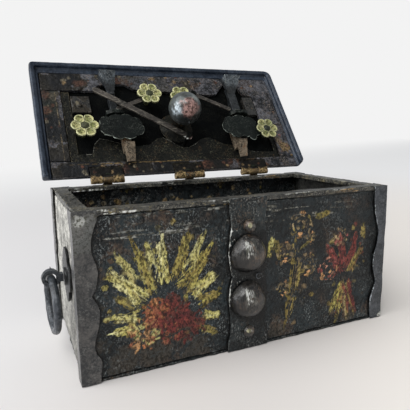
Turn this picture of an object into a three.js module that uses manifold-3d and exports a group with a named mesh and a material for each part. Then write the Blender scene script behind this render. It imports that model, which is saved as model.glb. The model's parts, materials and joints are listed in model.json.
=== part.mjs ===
// Small iron strongbox: a riveted plate chest with wavy straps, two ring handles, and a lid
// that stands open on three hinges and carries a four-bolt lock on its underside.
// Millimetres, +Z up. The origin is the centre of the underside, -Y is the front, +X the
// right-hand side as seen from the front.
// Under the lid, places are given as x, v and n: v runs from the hinge axis to the lid's
// front edge, and n stands out of the underside.

import * as THREE from 'three';
import { ConvexGeometry } from 'three/addons/geometries/ConvexGeometry.js';
import { mergeVertices } from 'three/addons/utils/BufferGeometryUtils.js';
import Module from 'manifold-3d';

const wasm = await Module();
wasm.setup();

// Fits and fineness
const fitGap = 0.3; // between pieces that rest on each other
const slideGap = 0.5; // between a sliding bolt and what it slides in
const cutOverrun = 1; // how far a cutting solid runs past a face
const weldDistance = 0.0001;
const fineSides = 24;
const roundSides = 16;
const smallSides = 10;

// Chest
const boxWidth = 220;
const boxDepth = 111;
const boxHeight = 100;
const wallThickness = 2;
const baseThickness = 2;
const rimWidth = 9.5;
const rimThickness = 3.5;
const wallRivetRadius = 2.8;
const wallRivetHeight = 1.6;
const wallRivetDrop = 4.4; // below the rim's top
const wallRivetShare = -0.66; // of half the box width

// Straps on the chest
const strapThickness = 1.2;
const strapWidth = 14.4;
const frontStrapWidth = 28;
const frontStrapOffset = -4;
// Wavy edges as pairs of height share and width share, from the foot up
const cornerEdgeShares = [
  [0, 0.78], [0.045, 0.79], [0.09, 0.84], [0.125, 0.86], [0.15, 0.81], [0.18, 0.665], [0.22, 0.605],
  [0.26, 0.635], [0.305, 0.74], [0.35, 0.83], [0.4, 0.875], [0.44, 0.875], [0.475, 0.8], [0.52, 0.62],
  [0.565, 0.785], [0.61, 0.855], [0.655, 0.895], [0.7, 0.84], [0.745, 0.73], [0.785, 0.675],
  [0.825, 0.69], [0.86, 0.73], [0.91, 0.85], [0.95, 0.98], [1, 0.97],
];
const frontRightEdgeShares = [
  [0, 0.74], [0.06, 0.79], [0.15, 0.8], [0.22, 0.66], [0.28, 0.5], [0.33, 0.58], [0.38, 0.7],
  [0.44, 0.73], [0.5, 0.68], [0.58, 0.52], [0.65, 0.44], [0.7, 0.5], [0.8, 0.72], [0.9, 0.82], [1, 0.84],
];
const frontStrapEdgeShares = [
  [0, 1.07], [0.06, 1.02], [0.13, 0.93], [0.19, 0.89], [0.26, 0.95], [0.35, 1], [0.43, 0.94],
  [0.5, 0.85], [0.56, 0.93], [0.65, 1.02], [0.75, 0.94], [0.83, 0.85], [0.9, 0.93], [1, 0.98],
];

// Bosses and studs on the front strap
const bossGap = 5; // between the two bosses
const bossHeight = 9.6;
const bossOffset = -1; // from the strap's middle
const studRadii = [4.1, 4.6]; // lower and upper
const studHeights = [2.6, 4.2];
// Middles of lower and upper boss, and of lower and upper stud, as shares of the box height
const bossShares = [0.345, 0.646];
const studShares = [0.126, 0.82];
// Profiles as pairs of radius share and height share, from the rim to the crown
const bossProfileShares = [
  [1, 0], [1, 0.1], [0.95, 0.26], [0.86, 0.48], [0.72, 0.7], [0.54, 0.86], [0.32, 0.96], [0.14, 0.995],
];
const studProfileShares = [
  [1, 0], [0.96, 0.35], [0.78, 0.7], [0.45, 0.93],
];

// Ring handles
const ringOuterDiameter = 38;
const ringWireDiameter = 5.2;
const ringStandoff = 9; // from the box side to the middle of the ring's wire
const ringTwist = THREE.MathUtils.degToRad(4.2); // the left ring hangs a little turned
const handleForward = 15.5; // from the middle of the side towards the front
const eyeGap = 0.6; // round the ring's wire in its eye
const eyeWidth = 5;
const eyeWall = 2.4;
const eyeNibHeight = 2.2;
const eyeNibRadius = 1.8;
const plateReach = 17.5; // from the handle plate's middle to its outline
const plateThickness = 1.5;
const plateBossHeight = 1.2;
const plateShare = 0.545; // height of the plate's middle, as a share of the box height
const ringTopShare = 0.56;
// Each lobe is across, up and radius, as shares of the plate's reach
const plateLobeShares = [
  [-0.49, 0, 0.51], [0.49, 0, 0.51], [0, 0.49, 0.51], [0, -0.49, 0.51], [0, 0, 0.62],
];

// Hinges
const hingeInset = 2; // from the back of the box to the hinge axis
const hingeRise = 3; // from the rim's top to the hinge axis
const hingeWidth = 26;
const middleKnuckleWidth = 8;
const barrelRadius = 2.7;
const pinRadius = 1.2;
const leafThickness = 1.2;
const lidLeafReach = 10.6;
const chestLeafWidth = 24;
const chestLeafDrop = 16;
const openAngle = THREE.MathUtils.degToRad(126);
// Middles of the hinges as shares of half the box width
const hingeShares = [-0.611, 0.014, 0.577];
const hingeNames = ['left', 'centre', 'right'];

// Lid
const lidOverhang = 5.6; // past the box at each side
const lidMiddle = 0.65; // the lid sits this far to the right of the box's middle
const lidFrontOverhang = 4.2;
const lidBackEdge = 3.1; // from the hinge axis
const lidPlateThickness = 2;
const sideLipWidth = 4.6;
const frontLipWidth = 3.9;
const lipDrop = 4; // below the underside
const sideShelfWidth = 2.2;
const frontShelfWidth = 4.7;
const shelfDrop = 0.3; // the shelf lies this much deeper than the frame
const lidFrameThickness = 3.5;
const lidFrameLeftWidth = 15;
const lidFrameRightWidth = 13.6;
const lidFrameRightWideWidth = 22.3; // of its front part
const lidFrameFrontWidth = 22.6;
const lidFrameBackEdge = 17; // the back strip's inner edge at its left end
const frameRivetRadius = 2.2;
const frameRivetHeight = 1.5;
// Corner radii of the lid: back left, back right, front right, front left
const lidCornerRadii = [1.5, 5, 6.5, 3];
const cornerSteps = 4;
// Lip section as pairs of inset share and height share, from the lid's outer face to its inside
const lipShares = [
  [0.5, 0], [0.12, 0.08], [0, 0.22], [0, 0.8], [0.12, 0.95], [0.3, 1], [0.88, 0.88], [0.97, 0.8],
];
// Inner edge of the front strip, as shares of the frame's half width and of the strip's width
const frontStripEdgeShares = [
  [-1, 0.81], [-0.611, 0.81], [-0.58, 0.6], [-0.51, 0.46], [-0.349, 0.46], [-0.288, 0.7], [-0.208, 0.77],
  [-0.036, 0.79], [0.372, 0.91], [0.452, 0.87], [0.573, 0.22], [0.679, 0.22], [0.69, 0.72], [0.72, 0.86],
  [0.75, 0.94],
];
const wideFootShare = 0.475; // foot of the right side's wide part, as a share of the frame's front edge
// Inner edge of the back strip, as shares of the frame's half width and of the edge's left end
const backStripEdgeShares = [
  [-1, 1], [-0.86, 1], [-0.8, 0.955], [-0.69, 0.906], [-0.24, 0.9], [-0.05, 0.83], [0.12, 0.775],
  [0.86, 0.74], [1, 0.74],
];
const frameRivetShares = [-0.714, 0.72];

// Lock plate
const lockPlateThickness = 1.5;
const lockPlateLeftBand = 6.85;
const lockPlateRightBand = 4.05;
const lockPlateEdgeShare = 0.3106; // the highest scallop's reach into the lock's depth
// Scalloped edge as shares of the lock's half width and of the edge's height
const scallopShares = [
  [-0.88, 0.35], [-0.85, 0.8], [-0.79, 1.08], [-0.72, 1.02], [-0.65, 0.9], [-0.54, 0.74], [-0.44, 0.66],
  [-0.31, 0.72], [-0.27, 0.86], [-0.225, 1], [-0.16, 1.06], [-0.096, 0.9], [-0.05, 0.72], [0.02, 0.52],
  [0.08, 0.52], [0.16, 0.66], [0.22, 0.86], [0.27, 0.97], [0.33, 1.02], [0.4, 0.88], [0.47, 0.67],
  [0.58, 0.56], [0.7, 0.36], [0.83, 0.16],
];
const scallopEndShares = [0.34, 0.13];

// Brackets in the corners of the lock's recess
const bracketLeftWidth = 15.4;
const bracketLeftRise = 1.6;
const bracketRightWidth = 10.5;
const bracketRightRise = 3.2;
// Their ends as shares of the lock's front, and the left one's rivet as shares of its width and length
const bracketLeftShares = [0.783, 0.991];
const bracketRightShares = [0.734, 0.991];
const bracketRivetShares = [0.42, 0.42];

// Key spindle with its ball, and the trumpet it turns in
const spindleShares = [0.009, 0.5875]; // of the lock's half width and front
const ballRadius = 13.75;
const ballRise = 27.3;
const ballStart = THREE.MathUtils.degToRad(162); // where the ball meets its stem
const socketWidth = 2.6;
const socketDepth = 9;
const nibLength = 2.4;
const nibRadius = 1.5;
const trumpetShare = 0.4886; // foot radius, as a share of the way from the lock plate to the spindle
const stemShare = 0.267; // of the trumpet's foot radius
const trumpetRise = 13.7;
// Trumpet section as pairs of radius share and height share, from the foot up
const trumpetShares = [
  [1, 0], [1, 0.06], [0.86, 0.13], [0.68, 0.27], [0.53, 0.46], [0.45, 0.68], [0.42, 0.9], [0.4, 1],
];

// Bolts
const catchRise = 6.8; // underside of what passes below the chest's rim
const boltTopRise = 7;
const boltFootRise = 1;
const frontTipSetback = 7.3; // from the frame's front edge
const frontHeadRise = 18.5;
const frontHeadTopSetback = 1.6;
const frontHeadLength = 14.5;
const shankSetback = 8.5; // from the head's tip to the shank's end
const frontBoltWidths = { left: 6, right: 8.5 };
const rearBoltWidth = 7.4;
const rearTipV = 11.5;
const rearHeadRise = 16;
const rearTipThickness = 0.6;
const pegRadius = 1.8;
const pegRise = 13.5;
// Middles as shares of the lock's half width; tips and roots across as shares of the bolt's width
const frontBoltShares = {
  left: { x: -0.6126, tip: [-1.53, 0.8], root: [0.13, 0.67] },
  right: { x: 0.7293, tip: [-0.88, 1.12], root: [-0.235, 0.47] },
};
const rearBoltShares = { left: -0.553, right: 0.626 };
// Ends along the bolts, as shares of the lock's front
const frontTailShare = 0.6242;
const shankFootShare = 0.93;
const pegShare = 0.9241;
const rearFootShare = 0.27;
const rearHeadEndShare = 0.306;
const rearTailShare = 0.5386;

// Staples that guide the front bolts
const guideShare = 0.6854; // of the lock's front
const guideDepth = 3.5;
const guideLegWidth = 4.2;
const guideRise = 12;
const guideShoulderRise = 9.5;

// Cover plates, rosettes and levers
const coverRise = 10.4;
const coverThickness = 1.2;
const coverReachShare = 0.2264; // of the lock's front
const earRadius = 4;
const rosetteRise = 11.9;
const rosetteThickness = 1.8;
const rosetteReach = 11;
const rosetteDomeRadius = 2.9;
const rosetteDomeHeight = 1.4;
const postRadius = 2.2;
const petalCount = 6;
const petalShare = 0.4; // petal radius as a share of the rosette's reach
// Places of rosettes, covers and levers as shares of the lock's half width and front
const rosetteShares = {
  left: [-0.931, 0.5177],
  front_left: [-0.245, 0.9204],
  front_right: [0.0957, 0.8874],
  right: [0.965, 0.4492],
};
const coverShares = { left: [-0.587, 0.519], right: [0.6768, 0.5018] };
const barFromShares = [0.0432, 0.3696];
const barToShares = [-0.776, 0.9547];
const rightArmFromShares = [0.2567, 0.9731];
const rightArmToShare = 0.6254;
const leftArmToShare = -0.5718;
// Each lobe is across, along and radius, as shares of the cover's reach
const coverLeftLobeShares = [
  [-0.55, -0.05, 0.45], [-0.62, 0.22, 0.34], [-0.2, -0.28, 0.4], [-0.15, 0.22, 0.47], [0.25, 0.26, 0.42],
  [0.26, -0.26, 0.42], [0.62, -0.12, 0.38], [0.6, 0.14, 0.36],
];
const coverRightLobeShares = [
  [-0.62, -0.02, 0.4], [-0.44, 0.2, 0.42], [-0.3, -0.24, 0.42], [0.02, 0.24, 0.46], [0.18, -0.14, 0.5],
  [0.5, 0.14, 0.44], [0.66, -0.2, 0.4], [0.5, -0.62, 0.2], [0.46, -0.42, 0.24],
];
const barRise = 12;
const barThickness = 2;
const barWidth = 5;
const barHubRadius = 3.4;
const armRise = 7.4;
const armThickness = 1.6;
const armWidth = 4;
const armHubRadius = 3.6;
const armEndGap = 1.3; // from the staples
const pivotRadius = 1.8;
const pivotHeadRadius = 3;
const pivotHeadThickness = 1.3;

// Keyhole and its swinging cover on the lid's outer face
const keyholeRadius = 1.9;
const escutcheonThickness = 1.5;
const escutcheonRadius = 6;
const escutcheonLength = 14; // from the keyhole to the cover's pivot
const escutcheonTopRadius = 4.4;
const rivetHeadRadius = 3;
const rivetHeadThickness = 1;

// Places that follow from the sizes
const halfWidth = boxWidth / 2;
const halfDepth = boxDepth / 2;
const wallX = halfWidth - strapThickness - fitGap;
const wallY = halfDepth - strapThickness - fitGap;
const rimFootZ = boxHeight - rimThickness;
const wallFootZ = baseThickness + fitGap;
const wallTopZ = rimFootZ - fitGap;
const hingeY = halfDepth - hingeInset;
const hingeZ = boxHeight + hingeRise;
const lidFloor = hingeRise - fitGap;
const lidInnerN = lidFloor - lidFrameThickness - fitGap;
const lidOuterN = lidInnerN - lidPlateThickness;
const lipEndN = lidFloor + lipDrop;
const lidHalfWidth = halfWidth + lidOverhang;
const lidFrontEdge = hingeY + halfDepth + lidFrontOverhang;
const seatN = lidInnerN + fitGap;
const sideInset = sideLipWidth + sideShelfWidth;
const frontInset = frontLipWidth + frontShelfWidth;
const frameHalfWidth = lidHalfWidth - sideInset - fitGap;
const frameFrontEdge = lidFrontEdge - frontInset - fitGap;
const frameBackEdge = lidBackEdge + fitGap;
const frameLeft = lidMiddle - frameHalfWidth;
const frameRight = lidMiddle + frameHalfWidth;
const windowLeft = frameLeft + lidFrameLeftWidth;
const windowRight = frameRight - lidFrameRightWidth;
const backStripEdge = backStripEdgeShares.map(([x, v]) => [
  lidMiddle + x * frameHalfWidth, v * lidFrameBackEdge,
]);
const leftStripFoot = backStripEdge[0][1] + fitGap;
const rightStripFoot = backStripEdge[backStripEdge.length - 1][1] + fitGap;
const lockPlateLeft = windowLeft + fitGap;
const lockPlateRight = windowRight - fitGap;
const lockHalfWidth = -(lockPlateLeft + lockPlateLeftBand);
const lockRightEdge = lockPlateRight - lockPlateRightBand;
const lockFrontV = frameFrontEdge - lidFrameFrontWidth;
const inLock = ([x, v]) => ({ x: x * lockHalfWidth, v: v * lockFrontV });
const spindle = inLock(spindleShares);
const trumpetRadius = trumpetShare * (spindle.v - leftStripFoot);
const stemRadius = stemShare * trumpetRadius;
const escutcheonPivot = { x: spindle.x, v: spindle.v + escutcheonLength };
const bossZ = bossShares.map((share) => share * boxHeight);
const bossRadius = (bossZ[1] - bossZ[0] - bossGap) / 2;
const frontTipV = frameFrontEdge - frontTipSetback;
const guideV = guideShare * lockFrontV;
const armEndV = guideV + guideDepth + armEndGap + armWidth / 2;
const coverReach = coverReachShare * lockFrontV;
const barFrom = inLock(barFromShares);
const barTo = inLock(barToShares);
const rightArmFrom = inLock(rightArmFromShares);
const rightArmTo = { x: rightArmToShare * lockHalfWidth, v: armEndV };
const leftArmTo = { x: leftArmToShare * lockHalfWidth, v: armEndV };

// Looks
const iron = (color, roughness) => new THREE.MeshStandardMaterial({ color, roughness, metalness: 0.8 });
const darkIron = iron(0x23282a, 0.55);
const strapIron = iron(0x4b4442, 0.5);
const sideIron = iron(0x5c5a55, 0.5);
const rimIron = iron(0x34363a, 0.45);
const blueIron = iron(0x2d3743, 0.5);
const brownIron = iron(0x463a36, 0.6);
const rustIron = iron(0x5a4030, 0.8);
const brassIron = iron(0xa87838, 0.5);
const coverIron = iron(0x323632, 0.6);
const ballSteel = iron(0x7d848c, 0.25);
const yellowPaint = new THREE.MeshStandardMaterial({ color: 0xc8c378, roughness: 0.7, metalness: 0.1 });

// Solids and plain shapes
function solidOf(geometry) {
  const bare = geometry.index ? geometry.toNonIndexed() : geometry.clone();
  const extra = Object.keys(bare.attributes).filter((name) => name !== 'position');
  extra.forEach((name) => bare.deleteAttribute(name));
  const merged = mergeVertices(bare, weldDistance);
  const triVerts = new Uint32Array(merged.index.array);
  const vertProperties = merged.attributes.position.array;
  return new wasm.Manifold(new wasm.Mesh({ numProp: 3, vertProperties, triVerts }));
}

function geometryOf(solid) {
  const mesh = solid.getMesh();
  const geometry = new THREE.BufferGeometry();
  geometry.setAttribute('position', new THREE.BufferAttribute(mesh.vertProperties, 3));
  geometry.setIndex(new THREE.BufferAttribute(mesh.triVerts, 1));
  return geometry;
}

function join(...pieces) {
  return geometryOf(pieces.map(solidOf).reduce((whole, piece) => whole.add(piece)));
}

function cut(base, ...tools) {
  return geometryOf(tools.map(solidOf).reduce((whole, tool) => whole.subtract(tool), solidOf(base)));
}

function slab([x0, x1], [y0, y1], [z0, z1]) {
  const box = new THREE.BoxGeometry(x1 - x0, y1 - y0, z1 - z0);
  return box.translate((x0 + x1) / 2, (y0 + y1) / 2, (z0 + z1) / 2);
}

function prism(points, from, to) {
  const shape = new THREE.Shape(points.map(([x, y]) => new THREE.Vector2(x, y)));
  const solid = new THREE.ExtrudeGeometry(shape, { depth: to - from, bevelEnabled: false });
  return solid.translate(0, 0, from);
}

// A round bar along Z, and the same turned to lie along X or Y
function rod(radius, [from, to], sides) {
  const bar = new THREE.CylinderGeometry(radius, radius, to - from, sides);
  return bar.rotateX(Math.PI / 2).translate(0, 0, (from + to) / 2);
}

const alongX = (geometry) => geometry.rotateY(Math.PI / 2);
const alongY = (geometry) => geometry.rotateX(-Math.PI / 2);

// A turned solid along Z from pairs of radius and height that run from foot to top outside
function turned(profile, sides) {
  const points = profile.map(([r, z]) => new THREE.Vector2(r, z));
  return new THREE.LatheGeometry(points, sides).rotateX(Math.PI / 2);
}

function dome(radius, height, shares, sides) {
  const side = shares.map(([r, h]) => [r * radius, h * height]);
  return turned([[0, 0], ...side, [0, height]], sides);
}

function lobedPlate(lobes, reach, from, to, sides) {
  const discs = lobes.map(([x, y, r]) => (
    rod(r * reach, [from, to], sides).translate(x * reach, y * reach, 0)
  ));
  return join(...discs);
}

// Faces drawn as seen from outside, stood up against a wall at a distance from the middle
const frontSide = 0;
const leftSide = -Math.PI / 2;
const backSide = Math.PI;
const rightSide = Math.PI / 2;

function against(side, geometry) {
  return geometry.rotateX(Math.PI / 2).rotateZ(side);
}

function addMesh(group, name, geometry, material) {
  const mesh = new THREE.Mesh(geometry, material.clone());
  mesh.name = name;
  group.add(mesh);
  return mesh;
}

const strongbox = new THREE.Group();
const chest = new THREE.Group();
const lid = new THREE.Group();
lid.position.set(0, hingeY, hingeZ);
lid.rotation.x = Math.PI - openAngle;
strongbox.add(chest, lid);

// Chest of separate plates under a flat rim
function addChestPlates() {
  const insideY = wallY - wallThickness - fitGap;
  const rimInsideX = wallX - rimWidth;
  const rimInsideY = wallY - rimWidth;
  const endY = rimInsideY - fitGap;
  const wallZ = [wallFootZ, wallTopZ];
  const rimZ = [rimFootZ, boxHeight];
  const fullX = [-wallX, wallX];
  const rivet = dome(wallRivetRadius, wallRivetHeight + fitGap, studProfileShares, smallSides);
  rivet.translate(wallRivetShare * halfWidth, boxHeight - rimThickness - wallRivetDrop, wallY - fitGap);
  const frontWall = join(slab(fullX, [-wallY, wallThickness - wallY], wallZ), against(frontSide, rivet));
  addMesh(chest, 'base_plate', slab(fullX, [-wallY, wallY], [0, baseThickness]), darkIron);
  addMesh(chest, 'wall_front', frontWall, darkIron);
  addMesh(chest, 'wall_back', slab(fullX, [wallY - wallThickness, wallY], wallZ), darkIron);
  addMesh(chest, 'wall_left', slab([-wallX, wallThickness - wallX], [-insideY, insideY], wallZ), sideIron);
  addMesh(chest, 'wall_right', slab([wallX - wallThickness, wallX], [-insideY, insideY], wallZ), sideIron);
  addMesh(chest, 'rim_front', slab(fullX, [-wallY, -rimInsideY], rimZ), rimIron);
  addMesh(chest, 'rim_back', slab(fullX, [rimInsideY, wallY], rimZ), rimIron);
  addMesh(chest, 'rim_left', slab([-wallX, -rimInsideX], [-endY, endY], rimZ), rimIron);
  addMesh(chest, 'rim_right', slab([rimInsideX, wallX], [-endY, endY], rimZ), rimIron);
}

// One flange of a corner strap: sign -1 at the left end of a side, 1 at its right end
function flange(side, halfSpan, distance, sign, shares) {
  const height = boxHeight - fitGap;
  const edge = shares.map(([z, w]) => [sign * (halfSpan - w * strapWidth), fitGap + z * height]);
  const outline = [[sign * halfSpan, fitGap], ...edge, [sign * halfSpan, boxHeight]];
  return against(side, prism(outline, distance - strapThickness, distance));
}

function addCornerStrap(name, [sideA, spanA], [sideB, spanB], sharesA, sharesB) {
  const strap = join(flange(sideA, spanA, spanB, 1, sharesA), flange(sideB, spanB, spanA, -1, sharesB));
  addMesh(chest, name, strap, strapIron);
}

function addStraps() {
  const front = [frontSide, halfWidth];
  const right = [rightSide, halfDepth];
  const back = [backSide, halfWidth];
  const left = [leftSide, halfDepth];
  addCornerStrap('corner_strap_front_left', left, front, cornerEdgeShares, cornerEdgeShares);
  addCornerStrap('corner_strap_front_right', front, right, frontRightEdgeShares, cornerEdgeShares);
  addCornerStrap('corner_strap_back_right', right, back, cornerEdgeShares, cornerEdgeShares);
  addCornerStrap('corner_strap_back_left', back, left, cornerEdgeShares, cornerEdgeShares);
  const half = frontStrapWidth / 2;
  const height = boxHeight - fitGap;
  const edge = (sign) => frontStrapEdgeShares.map(([z, w]) => [
    frontStrapOffset + sign * w * half, fitGap + z * height,
  ]);
  const outline = [...edge(1), ...edge(-1).reverse()];
  addMesh(chest, 'front_strap', against(frontSide, prism(outline, wallY + fitGap, halfDepth)), darkIron);
}

function addFrontDome(name, radius, height, shares, x, z, sides) {
  const shape = dome(radius, height, shares, sides).translate(x, z, halfDepth + fitGap);
  addMesh(chest, name, against(frontSide, shape), darkIron);
}

function addBosses() {
  const x = frontStrapOffset + bossOffset;
  ['lower', 'upper'].forEach((name, i) => {
    const studZ = studShares[i] * boxHeight;
    const studX = frontStrapOffset;
    addFrontDome('boss_' + name, bossRadius, bossHeight, bossProfileShares, x, bossZ[i], fineSides);
    addFrontDome('stud_' + name, studRadii[i], studHeights[i], studProfileShares, studX, studZ, smallSides);
  });
}

// A handle: plate and eye on the side, and the ring that swings in the eye
function addHandle(name, side, twist) {
  const wireRadius = ringWireDiameter / 2;
  const holeRadius = wireRadius + eyeGap;
  const eyeRadius = holeRadius + eyeWall;
  const ringMiddle = (ringOuterDiameter - ringWireDiameter) / 2;
  const across = -Math.sign(side) * handleForward;
  const wireZ = ringTopShare * boxHeight - wireRadius;
  const plateFoot = wallX + fitGap;
  const plateFace = plateFoot + plateThickness;
  const outward = halfWidth + ringStandoff;
  const disc = lobedPlate(plateLobeShares, plateReach, plateFoot, plateFace, roundSides);
  const seat = rod(eyeRadius, [plateFoot, plateFace + plateBossHeight], roundSides);
  const plate = join(disc.translate(across, plateShare * boxHeight, 0), seat.translate(across, wireZ, 0));
  addMesh(chest, 'handle_plate_' + name, against(side, plate), darkIron);

  const half = eyeWidth / 2;
  const shankFoot = plateFace + plateBossHeight + fitGap;
  const eye = alongX(rod(eyeRadius, [-half, half], roundSides)).translate(across, wireZ, outward);
  const shank = slab([across - half, across + half], [wireZ - half, wireZ + half], [shankFoot, outward]);
  const nib = new THREE.ConeGeometry(eyeNibRadius, eyeWall + eyeNibHeight, smallSides);
  nib.translate(across, wireZ + eyeRadius + (eyeNibHeight - eyeWall) / 2, outward);
  const hole = alongX(rod(holeRadius, [-half - cutOverrun, half + cutOverrun], roundSides));
  hole.translate(across, wireZ, outward);
  addMesh(chest, 'handle_eye_' + name, against(side, cut(join(eye, shank, nib), hole)), strapIron);

  const ring = new THREE.TorusGeometry(ringMiddle, wireRadius, smallSides, fineSides + smallSides);
  const ringGroup = new THREE.Group();
  ringGroup.rotation.z = side + twist;
  ringGroup.position.set(outward * Math.sign(side), -handleForward, wireZ);
  const mesh = addMesh(ringGroup, 'ring_' + name, ring.rotateX(Math.PI / 2), strapIron);
  mesh.position.z = -ringMiddle;
  chest.add(ringGroup);
}

// A hinge in three pieces: chest leaf with the middle knuckle, lid leaf with two, and the pin
function addHinge(name, x) {
  const holeRadius = pinRadius + fitGap;
  const halfMiddle = middleKnuckleWidth / 2 - fitGap;
  const half = hingeWidth / 2;
  const halfLeaf = chestLeafWidth / 2;
  const leafFace = [wallY + fitGap, halfDepth];
  const leafTop = boxHeight - fitGap;
  const bore = alongX(rod(holeRadius, [-half - cutOverrun, half + cutOverrun], smallSides));
  const toAxis = (geometry) => geometry.translate(0, hingeY, hingeZ);
  const leaf = slab([-halfLeaf, halfLeaf], leafFace, [leafTop - chestLeafDrop, leafTop]);
  const neck = slab([-halfMiddle, halfMiddle], leafFace, [leafTop - leafThickness, hingeZ]);
  const barrel = toAxis(alongX(rod(barrelRadius, [-halfMiddle, halfMiddle], roundSides)));
  const chestLeaf = cut(join(leaf, neck, barrel), toAxis(bore.clone()));
  addMesh(chest, 'hinge_leaf_chest_' + name, chestLeaf.translate(x, 0, 0), strapIron);

  const pin = toAxis(alongX(rod(pinRadius, [-half, half], smallSides)));
  addMesh(chest, 'hinge_pin_' + name, pin.translate(x, 0, 0), rimIron);

  const leafN = [lidFloor - leafThickness, lidFloor];
  const clearV = barrelRadius + slideGap;
  const innerX = middleKnuckleWidth / 2;
  const plate = slab([-half, half], [clearV, lidLeafReach], leafN);
  const ear = ([from, to]) => join(
    alongX(rod(barrelRadius, [from, to], roundSides)),
    slab([from, to], [0, clearV + fitGap], leafN),
  );
  const lidLeaf = cut(join(plate, ear([-half, -innerX]), ear([innerX, half])), bore);
  addMesh(lid, 'hinge_leaf_lid_' + name, lidLeaf.translate(x, 0, 0), brassIron);
}

// A corner of the lid keeps at least a share of its radius where the outline shrinks
const leastRadiusShare = 0.25;

function cornerRadius(corner, inset) {
  return Math.max(lidCornerRadii[corner] - inset, lidCornerRadii[corner] * leastRadiusShare);
}

// The lid's outline at an inset, as one ring of points that runs round the corners
function lidRing(insetSide, insetFront, n) {
  const x = lidHalfWidth - insetSide;
  const back = lidBackEdge + insetSide;
  const front = lidFrontEdge - insetFront;
  const radii = lidCornerRadii.map((r, corner) => cornerRadius(corner, insetSide));
  const corners = [[-x, back, 1, 1], [x, back, -1, 1], [x, front, -1, -1], [-x, front, 1, -1]];
  const ring = [];
  corners.forEach(([cx, cv, sx, sv], corner) => {
    const r = radii[corner];
    for (let step = 0; step <= cornerSteps; step += 1) {
      const angle = Math.PI + (corner + step / cornerSteps) * Math.PI / 2;
      const px = cx + sx * r + r * Math.cos(angle);
      const pv = cv + sv * r + r * Math.sin(angle);
      ring.push(new THREE.Vector3(lidMiddle + px, pv, n));
    }
  });
  return ring;
}

// A closed skin through rings of points, capped flat at both ends
function loft(rings) {
  const count = rings[0].length;
  const triangles = [];
  const face = (a, b, c) => triangles.push(a, b, c);
  for (let level = 0; level + 1 < rings.length; level += 1) {
    for (let i = 0; i < count; i += 1) {
      const j = (i + 1) % count;
      face(rings[level][i], rings[level][j], rings[level + 1][i]);
      face(rings[level][j], rings[level + 1][j], rings[level + 1][i]);
    }
  }
  const last = rings[rings.length - 1];
  for (let i = 1; i + 1 < count; i += 1) {
    face(rings[0][0], rings[0][i + 1], rings[0][i]);
    face(last[0], last[i], last[i + 1]);
  }
  return new THREE.BufferGeometry().setFromPoints(triangles);
}

function addPost(x, v, holeTopN) {
  const stem = rod(pivotRadius, [lidInnerN - fitGap, holeTopN + fitGap + pivotHeadThickness], smallSides);
  const headFoot = holeTopN + fitGap;
  const head = rod(pivotHeadRadius, [headFoot, headFoot + pivotHeadThickness], smallSides);
  return join(stem, head).translate(x, v, 0);
}

function addLidPlate() {
  const height = lipEndN - lidOuterN;
  const lip = lipShares.map(([inset, h]) => [
    inset * sideLipWidth, inset * frontLipWidth, lidOuterN + h * height,
  ]);
  const shelfN = lidFloor - shelfDrop;
  const inner = [
    [sideLipWidth, frontLipWidth, shelfN], [sideInset, frontInset, shelfN - shelfDrop],
    [sideInset, frontInset, lidInnerN],
  ];
  const tray = loft([...lip, ...inner].map(([side, front, n]) => lidRing(side, front, n)));
  const across = (inset) => [lidMiddle - lidHalfWidth + inset, lidMiddle + lidHalfWidth - inset];
  const backV = [-cutOverrun, lidBackEdge + sideInset + cutOverrun];
  const backLip = join(
    slab(across(sideInset), backV, [lidInnerN, lipEndN + cutOverrun]),
    slab(across(sideLipWidth), backV, [shelfN - shelfDrop, lipEndN + cutOverrun]),
  );
  const bore = rod(keyholeRadius, [lidOuterN - cutOverrun, lidInnerN + cutOverrun], smallSides);
  bore.translate(spindle.x, spindle.v, 0);
  const rivetFoot = lidOuterN - fitGap - escutcheonThickness - fitGap;
  const rivetN = [rivetFoot - rivetHeadThickness, rivetFoot];
  const rivet = join(
    rod(pivotRadius, [rivetN[0], lidOuterN + fitGap], smallSides),
    rod(rivetHeadRadius, rivetN, smallSides),
  ).translate(escutcheonPivot.x, escutcheonPivot.v, 0);
  const barPost = addPost(barFrom.x, barFrom.v, barRise + barThickness);
  const armPost = addPost(rightArmFrom.x, rightArmFrom.v, armRise + armThickness);
  addMesh(lid, 'lid_plate', join(cut(tray, backLip, bore), rivet, barPost, armPost), blueIron);
}

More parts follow.
